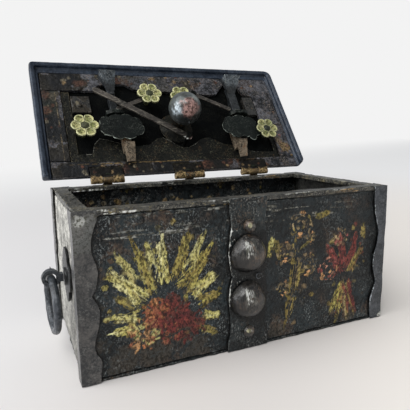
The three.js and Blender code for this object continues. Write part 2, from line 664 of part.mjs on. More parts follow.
function addLidFrame() {
  const n = [seatN, lidFloor];
  const wave = frontStripEdgeShares.map(([x, d]) => [
    lidMiddle + x * frameHalfWidth, frameFrontEdge - d * lidFrameFrontWidth,
  ]);
  const wideFootV = wideFootShare * frameFrontEdge;
  const wideX = frameRight - lidFrameRightWideWidth;
  const edge = [...wave, [wideX, wave[wave.length - 1][1]], [wideX, wideFootV], [frameRight, wideFootV]];
  const bevelLeft = cornerRadius(3, sideInset);
  const bevelRight = cornerRadius(2, sideInset);
  const outline = [
    ...edge, [frameRight, frameFrontEdge - bevelRight], [frameRight - bevelRight, frameFrontEdge],
    [frameLeft + bevelLeft, frameFrontEdge], [frameLeft, frameFrontEdge - bevelLeft],
  ];
  const rivet = dome(frameRivetRadius, frameRivetHeight + fitGap, studProfileShares, smallSides);
  const [rivetX, rivetV] = frameRivetShares;
  const rivetPlace = [lidMiddle + rivetX * frameHalfWidth, frameFrontEdge - rivetV * lidFrameFrontWidth];
  rivet.translate(...rivetPlace, lidFloor - fitGap);
  addMesh(lid, 'lid_frame_front', join(prism(outline, ...n), rivet), brownIron);

  const half = hingeWidth / 2 + fitGap;
  const pocketV = [frameBackEdge - cutOverrun, lidLeafReach + fitGap];
  const pocketN = [lidFloor - leafThickness - fitGap, lidFloor + cutOverrun];
  const pockets = hingeShares.map((share) => share * halfWidth).map((x) => slab(
    [x - half, x + half], pocketV, pocketN,
  ));
  const inwards = [...backStripEdge].reverse();
  const backStrip = prism([[frameLeft, frameBackEdge], [frameRight, frameBackEdge], ...inwards], ...n);
  addMesh(lid, 'lid_frame_back', cut(backStrip, ...pockets), brownIron);

  const endV = (edgePoint) => edgePoint[1] - fitGap;
  const leftV = [leftStripFoot, endV(edge[0])];
  const rightV = [rightStripFoot, endV(edge[edge.length - 1])];
  addMesh(lid, 'lid_frame_left', slab([frameLeft, windowLeft], leftV, n), brownIron);
  addMesh(lid, 'lid_frame_right', slab([windowRight, frameRight], rightV, n), brownIron);
  return [leftV[1], rightV[1]];
}

// The scalloped plate that lines the lock's recess on three sides
function addLockPlate([leftTop, rightTop]) {
  const edgeHeight = lockPlateEdgeShare * (lockFrontV - leftStripFoot);
  const heightOf = (share) => leftStripFoot + share * edgeHeight;
  const scallops = scallopShares.map(([sx, sv]) => [sx * lockHalfWidth, heightOf(sv)]);
  const [leftEnd, rightEnd] = scallopEndShares.map(heightOf);
  const between = backStripEdge.filter(([x]) => x > lockPlateLeft && x < lockPlateRight);
  const foot = between.map(([x, v]) => [x, v + fitGap]);
  const outline = [
    [lockPlateLeft, leftStripFoot], ...foot, [lockPlateRight, rightStripFoot],
    [lockPlateRight, rightTop], [lockRightEdge, rightTop], [lockRightEdge, rightEnd],
    ...scallops.reverse(), [-lockHalfWidth, leftEnd], [-lockHalfWidth, leftTop], [lockPlateLeft, leftTop],
  ];
  const plate = prism(outline, seatN, seatN + lockPlateThickness);
  addMesh(lid, 'lock_plate', plate, rustIron);
}

function addBrackets() {
  const x = lockHalfWidth - fitGap;
  const [across, along] = bracketRivetShares;
  const leftV = bracketLeftShares.map((share) => share * lockFrontV);
  const rightV = bracketRightShares.map((share) => share * lockFrontV);
  const rivetV = leftV[0] + along * (leftV[1] - leftV[0]);
  const rivet = dome(frameRivetRadius, frameRivetHeight + fitGap, studProfileShares, smallSides);
  rivet.translate(across * bracketLeftWidth - x, rivetV, bracketLeftRise - fitGap);
  const leftBlock = slab([-x, bracketLeftWidth - x], leftV, [seatN, bracketLeftRise]);
  addMesh(lid, 'bracket_left', join(leftBlock, rivet), brownIron);
  const rightBlock = slab([x - bracketRightWidth, x], rightV, [seatN, bracketRightRise]);
  addMesh(lid, 'bracket_right', rightBlock, brownIron);
}

function addSpindle() {
  const boreRadius = stemRadius + fitGap;
  const height = trumpetRise - seatN;
  const side = trumpetShares.map(([r, h]) => [r * trumpetRadius, seatN + h * height]);
  const section = [[boreRadius, seatN], ...side, [boreRadius, trumpetRise], [boreRadius, seatN]];
  const trumpet = turned(section, fineSides).translate(spindle.x, spindle.v, 0);
  addMesh(lid, 'key_trumpet', trumpet, darkIron);

  const arc = [];
  for (let step = 0; step < smallSides; step += 1) {
    const angle = ballStart * (1 - step / smallSides);
    arc.push([ballRadius * Math.sin(angle), ballRise + ballRadius * Math.cos(angle)]);
  }
  const stem = [[0, seatN], [stemRadius, seatN], [stemRadius, arc[0][1]]];
  const body = turned([...stem, ...arc, [0, ballRise + ballRadius]], fineSides);
  const halfSocket = socketWidth / 2;
  const socket = slab(
    [-halfSocket, halfSocket], [-halfSocket, halfSocket], [seatN - cutOverrun, seatN + socketDepth],
  );
  const nib = new THREE.ConeGeometry(nibRadius, nibLength * 2, smallSides).rotateZ(Math.PI);
  nib.translate(0, -ballRadius, ballRise);
  addMesh(lid, 'key_ball', cut(join(body, nib), socket).translate(spindle.x, spindle.v, 0), ballSteel);
}

function addFrontBolt(name) {
  const width = frontBoltWidths[name];
  const half = width / 2;
  const { x, tip, root } = frontBoltShares[name];
  const [tipFrom, tipTo] = tip.map((share) => share * width);
  const [rootFrom, rootTo] = root.map((share) => share * width);
  const rootV = frontTipV - frontHeadLength;
  const topV = frontTipV - frontHeadTopSetback;
  const rootN = boltTopRise + fitGap;
  const frontTailV = frontTailShare * lockFrontV;
  const corner = (across, v, n) => new THREE.Vector3(across, v, n);
  const head = new ConvexGeometry([
    corner(tipFrom, topV, frontHeadRise), corner(tipTo, topV, frontHeadRise),
    corner(tipFrom, frontTipV, catchRise), corner(tipTo, frontTipV, catchRise),
    corner(rootFrom, rootV, rootN), corner(rootTo, rootV, rootN),
    corner(-half, rootV, catchRise), corner(half, rootV, catchRise),
  ]);
  const tail = slab([-half, half], [frontTailV, shankFootShare * lockFrontV], [boltFootRise, boltTopRise]);
  const shankV = [frontTailV, frontTipV - shankSetback];
  const shank = slab([-half, half], shankV, [lidFloor + slideGap, boltTopRise]);
  const peg = rod(pegRadius, [boltFootRise, pegRise], smallSides).translate(0, pegShare * lockFrontV, 0);
  const pieces = name === 'left' ? [head, tail, shank, peg] : [head, tail, shank];
  addMesh(lid, 'front_bolt_' + name, join(...pieces).translate(x * lockHalfWidth, 0, 0), strapIron);
}

function addRearBolt(name) {
  const half = rearBoltWidth / 2;
  const headEndV = rearHeadEndShare * lockFrontV;
  const tailV = [rearFootShare * lockFrontV, rearTailShare * lockFrontV];
  const wedge = prism([
    [rearTipV, catchRise], [headEndV, catchRise], [headEndV, rearHeadRise],
    [rearTipV, catchRise + rearTipThickness],
  ], -half, half);
  const head = wedge.rotateX(Math.PI / 2).rotateZ(Math.PI / 2);
  const tail = slab([-half, half], tailV, [boltFootRise, boltTopRise]);
  const bolt = join(head, tail).translate(rearBoltShares[name] * lockHalfWidth, 0, 0);
  addMesh(lid, 'rear_bolt_' + name, bolt, rustIron);
}

function addGuide(name) {
  const inner = frontBoltWidths[name] / 2 + slideGap;
  const outer = inner + guideLegWidth;
  const roof = boltTopRise + slideGap;
  const outline = [
    [-outer, seatN], [-inner, seatN], [-inner, roof], [inner, roof], [inner, seatN], [outer, seatN],
    [outer, guideShoulderRise], [inner, guideRise], [-inner, guideRise], [-outer, guideShoulderRise],
  ];
  const arch = prism(outline, -guideV - guideDepth, -guideV).rotateX(Math.PI / 2);
  addMesh(lid, 'guide_' + name, arch.translate(frontBoltShares[name].x * lockHalfWidth, 0, 0), coverIron);
}

// A flat lever between two points, with a round hub and eye at its first point
function lever(from, to, width, hubRadius, [n0, n1], eyeRadius) {
  const length = Math.hypot(to.x - from.x, to.v - from.v);
  const angle = Math.atan2(to.v - from.v, to.x - from.x);
  const half = width / 2;
  const hub = rod(hubRadius, [n0, n1], roundSides);
  const beam = slab([0, length], [-half, half], [n0, n1]);
  const end = rod(half, [n0, n1], smallSides).translate(length, 0, 0);
  const eye = rod(eyeRadius, [n0 - cutOverrun, n1 + cutOverrun], smallSides);
  return cut(join(hub, beam, end), eye).rotateZ(angle).translate(from.x, from.v, 0);
}

function addLevers() {
  const eye = pivotRadius + fitGap;
  const barLevel = [barRise, barRise + barThickness];
  const armLevel = [armRise, armRise + armThickness];
  const long = lever(barFrom, barTo, barWidth, barHubRadius, barLevel, eye);
  const right = lever(rightArmFrom, rightArmTo, armWidth, armHubRadius, armLevel, eye);
  const leftArmFrom = inLock(rosetteShares.front_left);
  const left = lever(leftArmFrom, leftArmTo, armWidth, armHubRadius, armLevel, postRadius + fitGap);
  addMesh(lid, 'long_lever', long, strapIron);
  addMesh(lid, 'spring_arm_right', right, strapIron);
  addMesh(lid, 'spring_arm_left', left, strapIron);
}

function addCover(name, lobes) {
  const n = [coverRise, coverRise + coverThickness];
  const cover = inLock(coverShares[name]);
  const rosette = inLock(rosetteShares[name]);
  const plate = lobedPlate(lobes, coverReach, ...n, smallSides).translate(cover.x, cover.v, 0);
  const ear = lever(rosette, cover, earRadius, earRadius, n, postRadius + fitGap);
  const hole = rod(postRadius + fitGap, [coverRise - cutOverrun, rosetteRise], smallSides);
  const whole = cut(join(plate, ear), hole.translate(rosette.x, rosette.v, 0));
  addMesh(lid, 'cover_' + name, whole, coverIron);
}

function addRosette(name) {
  const { x, v } = inLock(rosetteShares[name]);
  const petals = [[0, 0, petalShare]];
  for (let i = 0; i < petalCount; i += 1) {
    const angle = i * 2 * Math.PI / petalCount;
    const out = 1 - petalShare;
    petals.push([out * Math.cos(angle), out * Math.sin(angle), petalShare]);
  }
  const top = rosetteRise + rosetteThickness;
  const flower = lobedPlate(petals, rosetteReach, rosetteRise, top, smallSides);
  const button = dome(rosetteDomeRadius, rosetteDomeHeight + fitGap, studProfileShares, smallSides);
  const post = rod(postRadius, [seatN, top], smallSides);
  const whole = join(flower, button.translate(0, 0, top - fitGap), post);
  addMesh(lid, 'rosette_' + name, whole.translate(x, v, 0), yellowPaint);
}

function addKeyholeCover() {
  const n = [lidOuterN - fitGap - escutcheonThickness, lidOuterN - fitGap];
  const eye = pivotRadius + fitGap;
  const arm = lever(escutcheonPivot, spindle, escutcheonTopRadius, escutcheonTopRadius, n, eye);
  const drop = rod(escutcheonRadius, n, roundSides).translate(spindle.x, spindle.v, 0);
  addMesh(lid, 'keyhole_cover', join(arm, drop), rimIron);
}

addChestPlates();
addStraps();
addBosses();
addHandle('left', leftSide, ringTwist);
addHandle('right', rightSide, 0);
hingeNames.forEach((name, i) => addHinge(name, hingeShares[i] * halfWidth));
addLidPlate();
addLockPlate(addLidFrame());
addBrackets();
addSpindle();
['left', 'right'].forEach((name) => {
  addFrontBolt(name);
  addGuide(name);
  addRearBolt(name);
});
addLevers();
addCover('left', coverLeftLobeShares);
addCover('right', coverRightLobeShares);
Object.keys(rosetteShares).forEach(addRosette);
addKeyholeCover();

export default strongbox;
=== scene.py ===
import json
import math

import bpy
import numpy as np
from mathutils import Matrix, Vector

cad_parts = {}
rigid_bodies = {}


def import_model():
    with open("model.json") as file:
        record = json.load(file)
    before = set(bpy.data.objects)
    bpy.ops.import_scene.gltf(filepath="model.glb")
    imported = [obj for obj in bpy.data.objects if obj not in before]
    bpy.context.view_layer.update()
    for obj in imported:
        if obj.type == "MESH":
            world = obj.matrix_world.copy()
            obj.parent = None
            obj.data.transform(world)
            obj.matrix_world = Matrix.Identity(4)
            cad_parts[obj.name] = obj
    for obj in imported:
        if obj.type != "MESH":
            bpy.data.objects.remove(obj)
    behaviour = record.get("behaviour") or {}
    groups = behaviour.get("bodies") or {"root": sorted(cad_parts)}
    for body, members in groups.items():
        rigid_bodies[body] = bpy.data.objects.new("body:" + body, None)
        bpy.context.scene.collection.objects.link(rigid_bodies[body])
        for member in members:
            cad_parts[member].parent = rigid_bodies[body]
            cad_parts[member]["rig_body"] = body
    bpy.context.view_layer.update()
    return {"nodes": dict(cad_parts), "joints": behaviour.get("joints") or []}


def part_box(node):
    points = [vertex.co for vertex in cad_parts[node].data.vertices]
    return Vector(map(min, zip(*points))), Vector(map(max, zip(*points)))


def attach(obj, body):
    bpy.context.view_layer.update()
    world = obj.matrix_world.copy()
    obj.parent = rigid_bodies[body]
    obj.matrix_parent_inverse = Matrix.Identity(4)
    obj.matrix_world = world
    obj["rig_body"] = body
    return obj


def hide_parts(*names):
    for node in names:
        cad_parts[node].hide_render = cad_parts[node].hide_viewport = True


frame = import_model()
NODES = frame["nodes"]
JOINTS = {joint["name"]: joint for joint in frame["joints"]}
MM = 0.001
OPEN_DEGREES = 126
SIDES = ("front", "back", "left", "right")
LEFT_RIGHT = ("left", "right")
HINGES = ("left", "centre", "right")


# Frames: the chest's is the row's own. In the lid's, x runs along the hinge and z out of the underside

def place(x_axis, y_axis, z_axis, origin):
    """The matrix that takes local millimetres to the row frame."""
    columns = [Vector(axis).normalized() * MM for axis in (x_axis, y_axis, z_axis)] + [Vector(origin)]
    return Matrix([[column[row] for column in columns] for row in range(3)] + [(0, 0, 0, 1)])


def lid_frame():
    opened = math.radians(OPEN_DEGREES)
    towards_front = (0, -math.cos(opened), math.sin(opened))
    out_of_underside = (0, -math.sin(opened), -math.cos(opened))
    return place((1, 0, 0), towards_front, out_of_underside, JOINTS["lid_hinge"]["pos_m"])


LID = lid_frame()
CHEST = place((1, 0, 0), (0, 1, 0), (0, 0, 1), (0, 0, 0))


# Noise

def lattice(ix, iy, iz, salt):
    """A fixed pseudo-random number from -1 to 1 for each lattice point."""
    h = ix * 374761393 + iy * 668265263 + iz * 1442695041 + salt * 974634779
    h = (h ^ (h >> 13)) * 1274126177
    h = h ^ (h >> 16)
    return (h & 0xFFFF) / 32767.5 - 1


def value_noise(p, salt):
    i = np.floor(p).astype(np.int64)
    f = p - i
    f = f * f * f * (f * (f * 6 - 15) + 10)
    total = np.zeros(len(p))
    for dx, dy, dz in np.ndindex(2, 2, 2):
        weight = (f[:, 0] if dx else 1 - f[:, 0]) * (f[:, 1] if dy else 1 - f[:, 1])
        weight = weight * (f[:, 2] if dz else 1 - f[:, 2])
        total += weight * lattice(i[:, 0] + dx, i[:, 1] + dy, i[:, 2] + dz, salt)
    return total


def swell(points, size, salt, octaves=2, gain=0.5):
    """Smooth noise from about -1 to 1 whose largest features are size across."""
    total, weight = np.zeros(len(points)), 1.0
    for octave in range(octaves):
        total += weight * value_noise(points * (2 ** octave / size) + 11.7 * octave, salt + octave)
        weight *= gain
    return total


def draw(salt, low, high):
    """A fixed pseudo-random number between two limits."""
    return low + (high - low) * (lattice(salt, 7 * salt, 13 * salt, 5) + 1) / 2


def ramp(low, high, value):
    """Rises smoothly from 0 at low to 1 at high."""
    t = np.clip((value - low) / (high - low), 0, 1)
    return t * t * (3 - 2 * t)


def middle_of(values):
    return (values.min() + values.max()) / 2


# Mesh arithmetic

def read(items, key, width, kind=float):
    """One property of every item of a mesh, a row for each item."""
    flat = np.empty(len(items) * width, np.int32 if kind is int else np.float32)
    items.foreach_get(key, flat)
    return flat.reshape(-1, width).astype(kind)


def edges_of(mesh):
    return read(mesh.edges, "vertices", 2, int)


def points_of(mesh):
    return read(mesh.vertices, "co", 3)


def normals_of(mesh):
    return read(mesh.vertices, "normal", 3)


def put_points(mesh, co):
    mesh.vertices.foreach_set("co", co.astype(np.float32).ravel())
    mesh.update()


def set_attribute(mesh, name, values, kind="FLOAT", key="value"):
    layer = mesh.attributes.get(name) or mesh.attributes.new(name, kind, "POINT")
    layer.data.foreach_set(key, values.astype(np.float32).ravel())


def neighbour_mean(values, edges):
    degree = np.maximum(np.bincount(edges.ravel(), minlength=len(values)), 1)
    columns = []
    for column in values.T:
        total = np.bincount(edges[:, 0], column[edges[:, 1]], len(values))
        total += np.bincount(edges[:, 1], column[edges[:, 0]], len(values))
        columns.append(total / degree)
    return np.stack(columns, 1)


def relax(values, edges, steps):
    """Draws each value half of the way to its neighbours' mean, that many times."""
    for _ in range(steps):
        values = values + 0.5 * (neighbour_mean(values, edges) - values)
    return values


def mark_edges(mesh):
    """Writes how much each point stands out (above 0) or lies in a corner (below 0)."""
    edges, co, normal = edges_of(mesh), points_of(mesh), normals_of(mesh)
    length = np.linalg.norm(co[edges[:, 0]] - co[edges[:, 1]], axis=1).mean()
    bend = ((co - neighbour_mean(co, edges)) * normal).sum(1) / length
    set_attribute(mesh, "edge", np.clip(relax(bend[:, None], edges, 1)[:, 0] * 4, -1, 1))


def linked(name, data):
    """A new object in the scene."""
    made = bpy.data.objects.new(name, data)
    bpy.context.scene.collection.objects.link(made)
    return made


def piece_from(name, mesh, body, replaced=()):
    """A finished piece in row-frame metres that rides on a body."""
    mesh.shade_smooth()
    piece = linked(name, mesh)
    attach(piece, body)
    if replaced:
        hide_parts(*replaced)


def remeshed(mesh, voxel):
    """The mesh rebuilt as an even net of that cell size, in the mesh's own units."""
    holder = linked("net", mesh)
    net = holder.modifiers.new("net", "REMESH")
    net.mode = "VOXEL"
    net.voxel_size = voxel
    graph = bpy.context.evaluated_depsgraph_get()
    made = bpy.data.meshes.new_from_object(holder.evaluated_get(graph))
    bpy.data.objects.remove(holder)
    bpy.data.meshes.remove(mesh)
    return made


def forge(node, material, cell, soften, *waves, shape=None, dress=None, proud=0.05):
    """Stands in for a CAD node: the same form in local millimetres, with rounded edges and a hammered skin.

    cell is the net's cell, soften is how often it is relaxed, waves are (feature size, height) of the
    hammering, shape(co, normal) moves points, dress(mesh, co, normal) writes paint, dirt and stains, and
    proud is how far the skin may leave the CAD's box.
    """
    source = NODES[node]
    body = source["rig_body"]
    matrix = CHEST if body in ("chest", "ring_left", "ring_right") else LID
    mesh = source.data.copy()
    mesh.transform(matrix.inverted())
    solid = points_of(mesh)
    low, high = solid.min(0) - proud, solid.max(0) + proud
    mesh = remeshed(mesh, cell)
    mesh.materials.clear()
    mesh.materials.append(material)
    put_points(mesh, relax(points_of(mesh), edges_of(mesh), soften))
    co, normal = points_of(mesh), normals_of(mesh)
    salt = sum(ord(c) * (k + 3) for k, c in enumerate(node)) % 997
    lift = sum(height * (swell(co, size, salt + 31 * k) - 0.6) for k, (size, height) in enumerate(waves))
    co = co + normal * lift[:, None]
    if shape:
        co = shape(co, normal)
    put_points(mesh, np.clip(co, low, high))
    mark_edges(mesh)
    if dress:
        dress(mesh, points_of(mesh), normals_of(mesh))
    mesh.transform(matrix)
    piece_from(node + ".forged", mesh, body, (node,))


def with_bumps(places):
    """A shape for forge: raises round lumps, each (x, y, radius, height), on the upper side."""
    def shape(co, normal):
        lift = np.zeros(len(co))
        for x, y, radius, height in places:
            away = np.hypot(co[:, 0] - x, co[:, 1] - y) / radius
            lift += height * np.exp(-away ** 2 * 2)
        return co + normal * (lift * (normal[:, 2] > 0.3))[:, None]
    return shape


# Paint laid on a mesh as strokes and dabs

def srgb(r, g, b):
    """A colour written as 0 to 255 screen values, as linear light."""
    def linear(value):
        c = value / 255
        return c / 12.92 if c <= 0.04045 else ((c + 0.055) / 1.055) ** 2.4
    return (linear(r), linear(g), linear(b), 1.0)


def pick(tints, k):
    return tints[k % len(tints)]


class Canvas:
    """Paint on one side of a mesh, in millimetres along two of its axes."""

    def __init__(self, mesh, co, facing, axes):
        self.mesh = mesh
        self.co = co
        self.x, self.y = co[:, axes[0]], co[:, axes[1]]
        self.facing = facing
        self.cover = np.zeros(len(co))
        self.colour = np.tile(np.array(srgb(90, 80, 60)), (len(co), 1))

    def lay(self, points, share, tint, shade):
        """Puts one colour over what is there; shade lightens or darkens it point by point."""
        share = np.clip(share * self.facing[points], 0, 1)[:, None]
        fresh = np.clip(np.array(srgb(*tint))[None, :] * (1 + shade[:, None]), 0, 1)
        self.colour[points] += (fresh - self.colour[points]) * share
        self.cover[points] = np.maximum(self.cover[points], share[:, 0])

    def stroke(self, start, way, width, tint, strength, salt, bend=0.0, bristle=0.4):
        """A brush stroke along a way from its start, with the marks of its bristles."""
        length = math.hypot(*way)
        way = np.divide(way, length)
        along = (self.x - start[0]) * way[0] + (self.y - start[1]) * way[1]
        t = along / length
        across = (self.y - start[1]) * way[0] - (self.x - start[0]) * way[1] - bend * 4 * t * (1 - t)
        points = np.nonzero((t > -0.08) & (t < 1.08) & (abs(across) < width))[0]
        t, along, across = t[points], along[points], across[points]
        grain = value_noise(np.stack([across / bristle, along / 7, 0 * t], 1), salt)
        chips = value_noise(np.stack([across / 1.6, along / 2.2, 0 * t + 3], 1), salt + 1)
        half = width / 2 * (0.45 + 0.55 * np.sin(np.pi * np.clip(0.12 + 0.76 * t, 0, 1)))
        body = ramp(1.08, 0.7, abs(across) / half + 0.3 * grain)
        body *= ramp(-0.06, 0.1, t + 0.09 * grain) * ramp(1.06, 0.86, t + 0.12 * grain)
        share = strength * body * ramp(-0.4, 0.15, 0.75 * grain + 0.75 * chips + 0.3 * body - 0.12)
        self.lay(points, share, tint, 0.5 * grain + 0.3 * chips)

    def dab(self, centre, radius, tint, strength, salt):
        """A ragged round patch."""
        away = np.hypot(self.x - centre[0], self.y - centre[1])
        points = np.nonzero(away < radius * 1.5)[0]
        flat = np.stack([self.x[points], self.y[points], 0 * points], 1)
        ragged = swell(flat, radius * 0.9, salt, 3, 0.6)
        grain = swell(flat, 1.1, salt + 9)
        share = strength * ramp(1.15, 0.6, away[points] / radius + 0.35 * ragged + 0.12 * grain)
        self.lay(points, share, tint, 0.3 * grain + 0.15 * ragged)

    def ragged_edge(self, low, high, size, salt, share):
        """How far each point lies on a sharp edge, made uneven, and the unevenness itself."""
        ragged = value_noise(self.co / size, salt)
        edge = read(self.mesh.attributes["edge"].data, "value", 1)[:, 0]
        return ramp(low, high, edge + share * ragged), ragged

    def rub_or_highlight(self, share, tint, shade):
        """Bares metal, or paints a highlight, wherever share is more than a trace."""
        points = np.nonzero(share > 0.02)[0]
        self.lay(points, share[points], tint, shade[points])

    # Darkening laid on the mesh as an attribute: painted shade and shadow, and dirt.
    def shade_and_dirt(self, values):
        set_attribute(self.mesh, "shade_and_dirt", values)

    def finish(self):
        set_attribute(self.mesh, "cover", self.cover)
        set_attribute(self.mesh, "paint", self.colour, "FLOAT_COLOR", "color")


def painter(facing, axes):
    """Makes a dress out of a function that paints a canvas; facing(normal) says where the paint holds."""
    def wrap(paint):
        def dress(mesh, co, normal):
            canvas = Canvas(mesh, co, facing(normal), axes)
            paint(canvas, *co.T)
            canvas.finish()
        return dress
    return wrap


def on_front(low, high):
    """A painter of the side that faces the front, from that share of its normal to that."""
    return painter(lambda normal: ramp(low, high, -normal[:, 1]), (0, 2))


on_top = painter(lambda normal: ramp(0.0, 0.4, normal[:, 2]), (0, 1))
all_over = painter(lambda normal: np.ones(len(normal)), (0, 1))


# Materials

BLACK = srgb(7, 8, 9)


class Graph:
    """A small helper to write the nodes of a material or the world as expressions."""

    def __init__(self, owner, output):
        self.owner = owner
        owner.use_nodes = True
        self.tree = owner.node_tree
        self.tree.nodes.clear()
        self.output = self.node(output)

    def node(self, kind, inputs=None, **settings):
        """A new node with its settings, whose sockets are fed with links or constants."""
        made = self.tree.nodes.new(kind)
        for key, value in settings.items():
            setattr(made, key, value)
        for key, value in (inputs or {}).items():
            self.feed(made.inputs[key], value)
        return made

    def feed(self, socket, value):
        if isinstance(value, bpy.types.NodeSocket):
            self.tree.links.new(value, socket)
        else:
            socket.default_value = value

    def maths(self, operation, a, b):
        return self.node("ShaderNodeMath", {0: a, 1: b}, operation=operation).outputs[0]

    def add(self, *values):
        total = values[0]
        for value in values[1:]:
            total = self.maths("ADD", total, value)
        return total

    def times(self, a, b):
        return self.maths("MULTIPLY", a, b)

    def step(self, value, low, high, floor=0.0, top=1.0):
        inputs = {"Value": value, "From Min": low, "From Max": high, "To Min": floor, "To Max": top}
        return self.node("ShaderNodeMapRange", inputs, interpolation_type="SMOOTHSTEP").outputs["Result"]

    def mix(self, share, a, b, blend="MIX"):
        inputs = {"Factor": share, 6: a, 7: b}
        return self.node("ShaderNodeMix", inputs, data_type="RGBA", blend_type=blend).outputs[2]

    def mixed_shader(self, share, first, second):
        both = self.node("ShaderNodeMixShader", {0: share, 1: first.outputs[0], 2: second.outputs[0]})
        self.feed(self.output.inputs["Surface"], both.outputs[0])


class Skin(Graph):
    """The nodes of a material."""

    def __init__(self, name):
        super().__init__(bpy.data.materials.new(name), "ShaderNodeOutputMaterial")
        self.place = self.node("ShaderNodeTexCoord").outputs["Object"]

    def noise(self, size, detail, rough, shift, stretch=(1, 1, 1), distortion=0.0):
        """Noise whose features are about size millimetres across."""
        offset = (shift * 0.013, shift * 0.029, shift * 0.007)
        moved = self.node("ShaderNodeMapping", {"Vector": self.place, "Location": offset, "Scale": stretch})
        return self.node("ShaderNodeTexNoise", {
            "Vector": moved.outputs[0], "Scale": 1 / (size * MM), "Detail": detail, "Roughness": rough,
            "Distortion": distortion}).outputs[0]

    def attribute(self, name, kind="Fac"):
        return self.node("ShaderNodeAttribute", attribute_name=name).outputs[kind]

    def finish(self, colour, roughness, relief, depth, metallic, level, coat):
        bump = self.node("ShaderNodeBump", {"Strength": 1.0, "Distance": depth * MM, "Height": relief})
        bump = bump.outputs[0]
        shader = self.node("ShaderNodeBsdfPrincipled", {
            "Base Color": colour, "Roughness": roughness, "Metallic": metallic, "Specular IOR Level": level,
            "Coat Weight": coat[0], "Coat Roughness": coat[1], "Normal": bump, "Coat Normal": bump})
        self.feed(self.output.inputs["Surface"], shader.outputs[0])
        return self.owner


def iron(name, dark, mid, worn, patch=None, patch_at=None, patch_size=None, worn_at=(0.3, 0.9),
         worn_share=0.7, specks=0.5, rough=(0.34, 0.6), metallic=0.1, level=0.15, depth=0.3,
         coat=(0.3, 0.25), pitting=0.6, spread=(0.42, 0.585), stretch=(1, 1, 1), shift=0):
    """Old blackened iron: cloudy tones, light specks, pits, rubbed edges, stains and laid-on paint.

    dark, mid and worn are screen colours, patch is a pair of them for rust, coat is the weight and
    roughness of the varnish, spread is where the tones turn from dark to mid, and stretch draws the
    texture out.
    """
    g = Skin(name)
    dark, mid, worn = srgb(*dark), srgb(*mid), srgb(*worn)
    cloud = g.noise(26, 4, 0.6, shift + 1)
    mottle = g.noise(5.5, 5, 0.66, shift + 2, stretch)
    grain = g.noise(1.7, 4, 0.7, shift + 3, stretch)
    pits = g.step(g.noise(2.2, 2, 0.5, shift + 4), 0.3, 0.42, 1, 0)
    edge = g.attribute("edge")
    tone = g.add(g.times(cloud, 0.32), g.times(mottle, 0.36), g.times(grain, 0.32))
    colour = g.mix(g.step(tone, *spread), dark, mid)
    bare = worn
    if patch:
        old, fresh = srgb(*patch[0]), srgb(*patch[1])
        blot = g.add(g.noise(patch_size, 6, 0.62, shift + 7, distortion=0.4), g.times(grain, 0.3))
        tint = g.mix(g.step(grain, 0.42, 0.6), old, fresh)
        colour = g.mix(g.step(blot, patch_at[0] + 0.15, patch_at[1] + 0.15), colour, tint)
        bare = g.mix(g.step(mottle, 0.45, 0.6), worn, fresh)
    cluster = g.step(g.noise(15, 4, 0.62, shift + 5), 0.4, 0.62, 0.1, 1)
    fine = g.noise(1.1, 3, 0.7, shift + 6, stretch)
    colour = g.mix(g.times(g.step(fine, 0.51, 0.62, 0, specks), cluster), colour, bare)
    colour = g.mix(g.times(pits, pitting), colour, BLACK)
    rubbed = g.add(edge, g.times(g.maths("SUBTRACT", mottle, 0.5), 2.2))
    rubbed = g.step(rubbed, *worn_at, 0, worn_share)
    colour = g.mix(rubbed, colour, worn)
    # Corners and hollows go black: dirt lodged there, and painted shade.
    colour = g.mix(g.step(edge, -0.1, -0.7, 0, 0.85), colour, BLACK)
    lost = g.add(g.times(grain, 0.9), g.times(mottle, 0.3))
    laid = g.step(g.maths("SUBTRACT", g.times(g.attribute("cover"), 1.3), lost), -0.12, 0.24)
    paint = g.attribute("paint", "Color")
    cracked = g.mix(g.step(grain, 0.4, 0.57, 0.95, 0), paint, (0.13, 0.13, 0.1, 1), "MULTIPLY")
    colour = g.mix(laid, colour, cracked)
    # Darkening laid on the mesh: painted shade and shadow, and dirt.
    colour = g.mix(g.attribute("shade_and_dirt"), colour, BLACK)
    roughness = g.maths("SUBTRACT", g.add(mottle, g.times(grain, 0.5)), g.times(rubbed, 0.3))
    relief = g.add(g.times(mottle, 1.4), g.times(grain, 0.7), g.times(pits, -0.5 * pitting),
                   g.times(laid, 0.35))
    return g.finish(colour, g.step(roughness, 0.45, 1.0, *rough), relief, depth, metallic, level, coat)


BALL_RADIUS = 13.75
# Painted highlights, reflections and shade on the ball: place from its middle, inner and outer reach, colour
# and strength
BALL_LIGHT_AND_SHADE_PATCHES = (
    ((6.8, -12.0, -3.5), 4, 8, (28, 26, 24), 0.85),
    ((-9.3, -9.5, -2.0), 1.6, 6.2, (190, 202, 210), 0.85),
    ((5.0, -10.3, 7.6), 1.0, 2.8, (160, 166, 162), 0.6),
    ((-4.0, -9.0, -10.0), 3, 8, (36, 40, 42), 0.7),
)


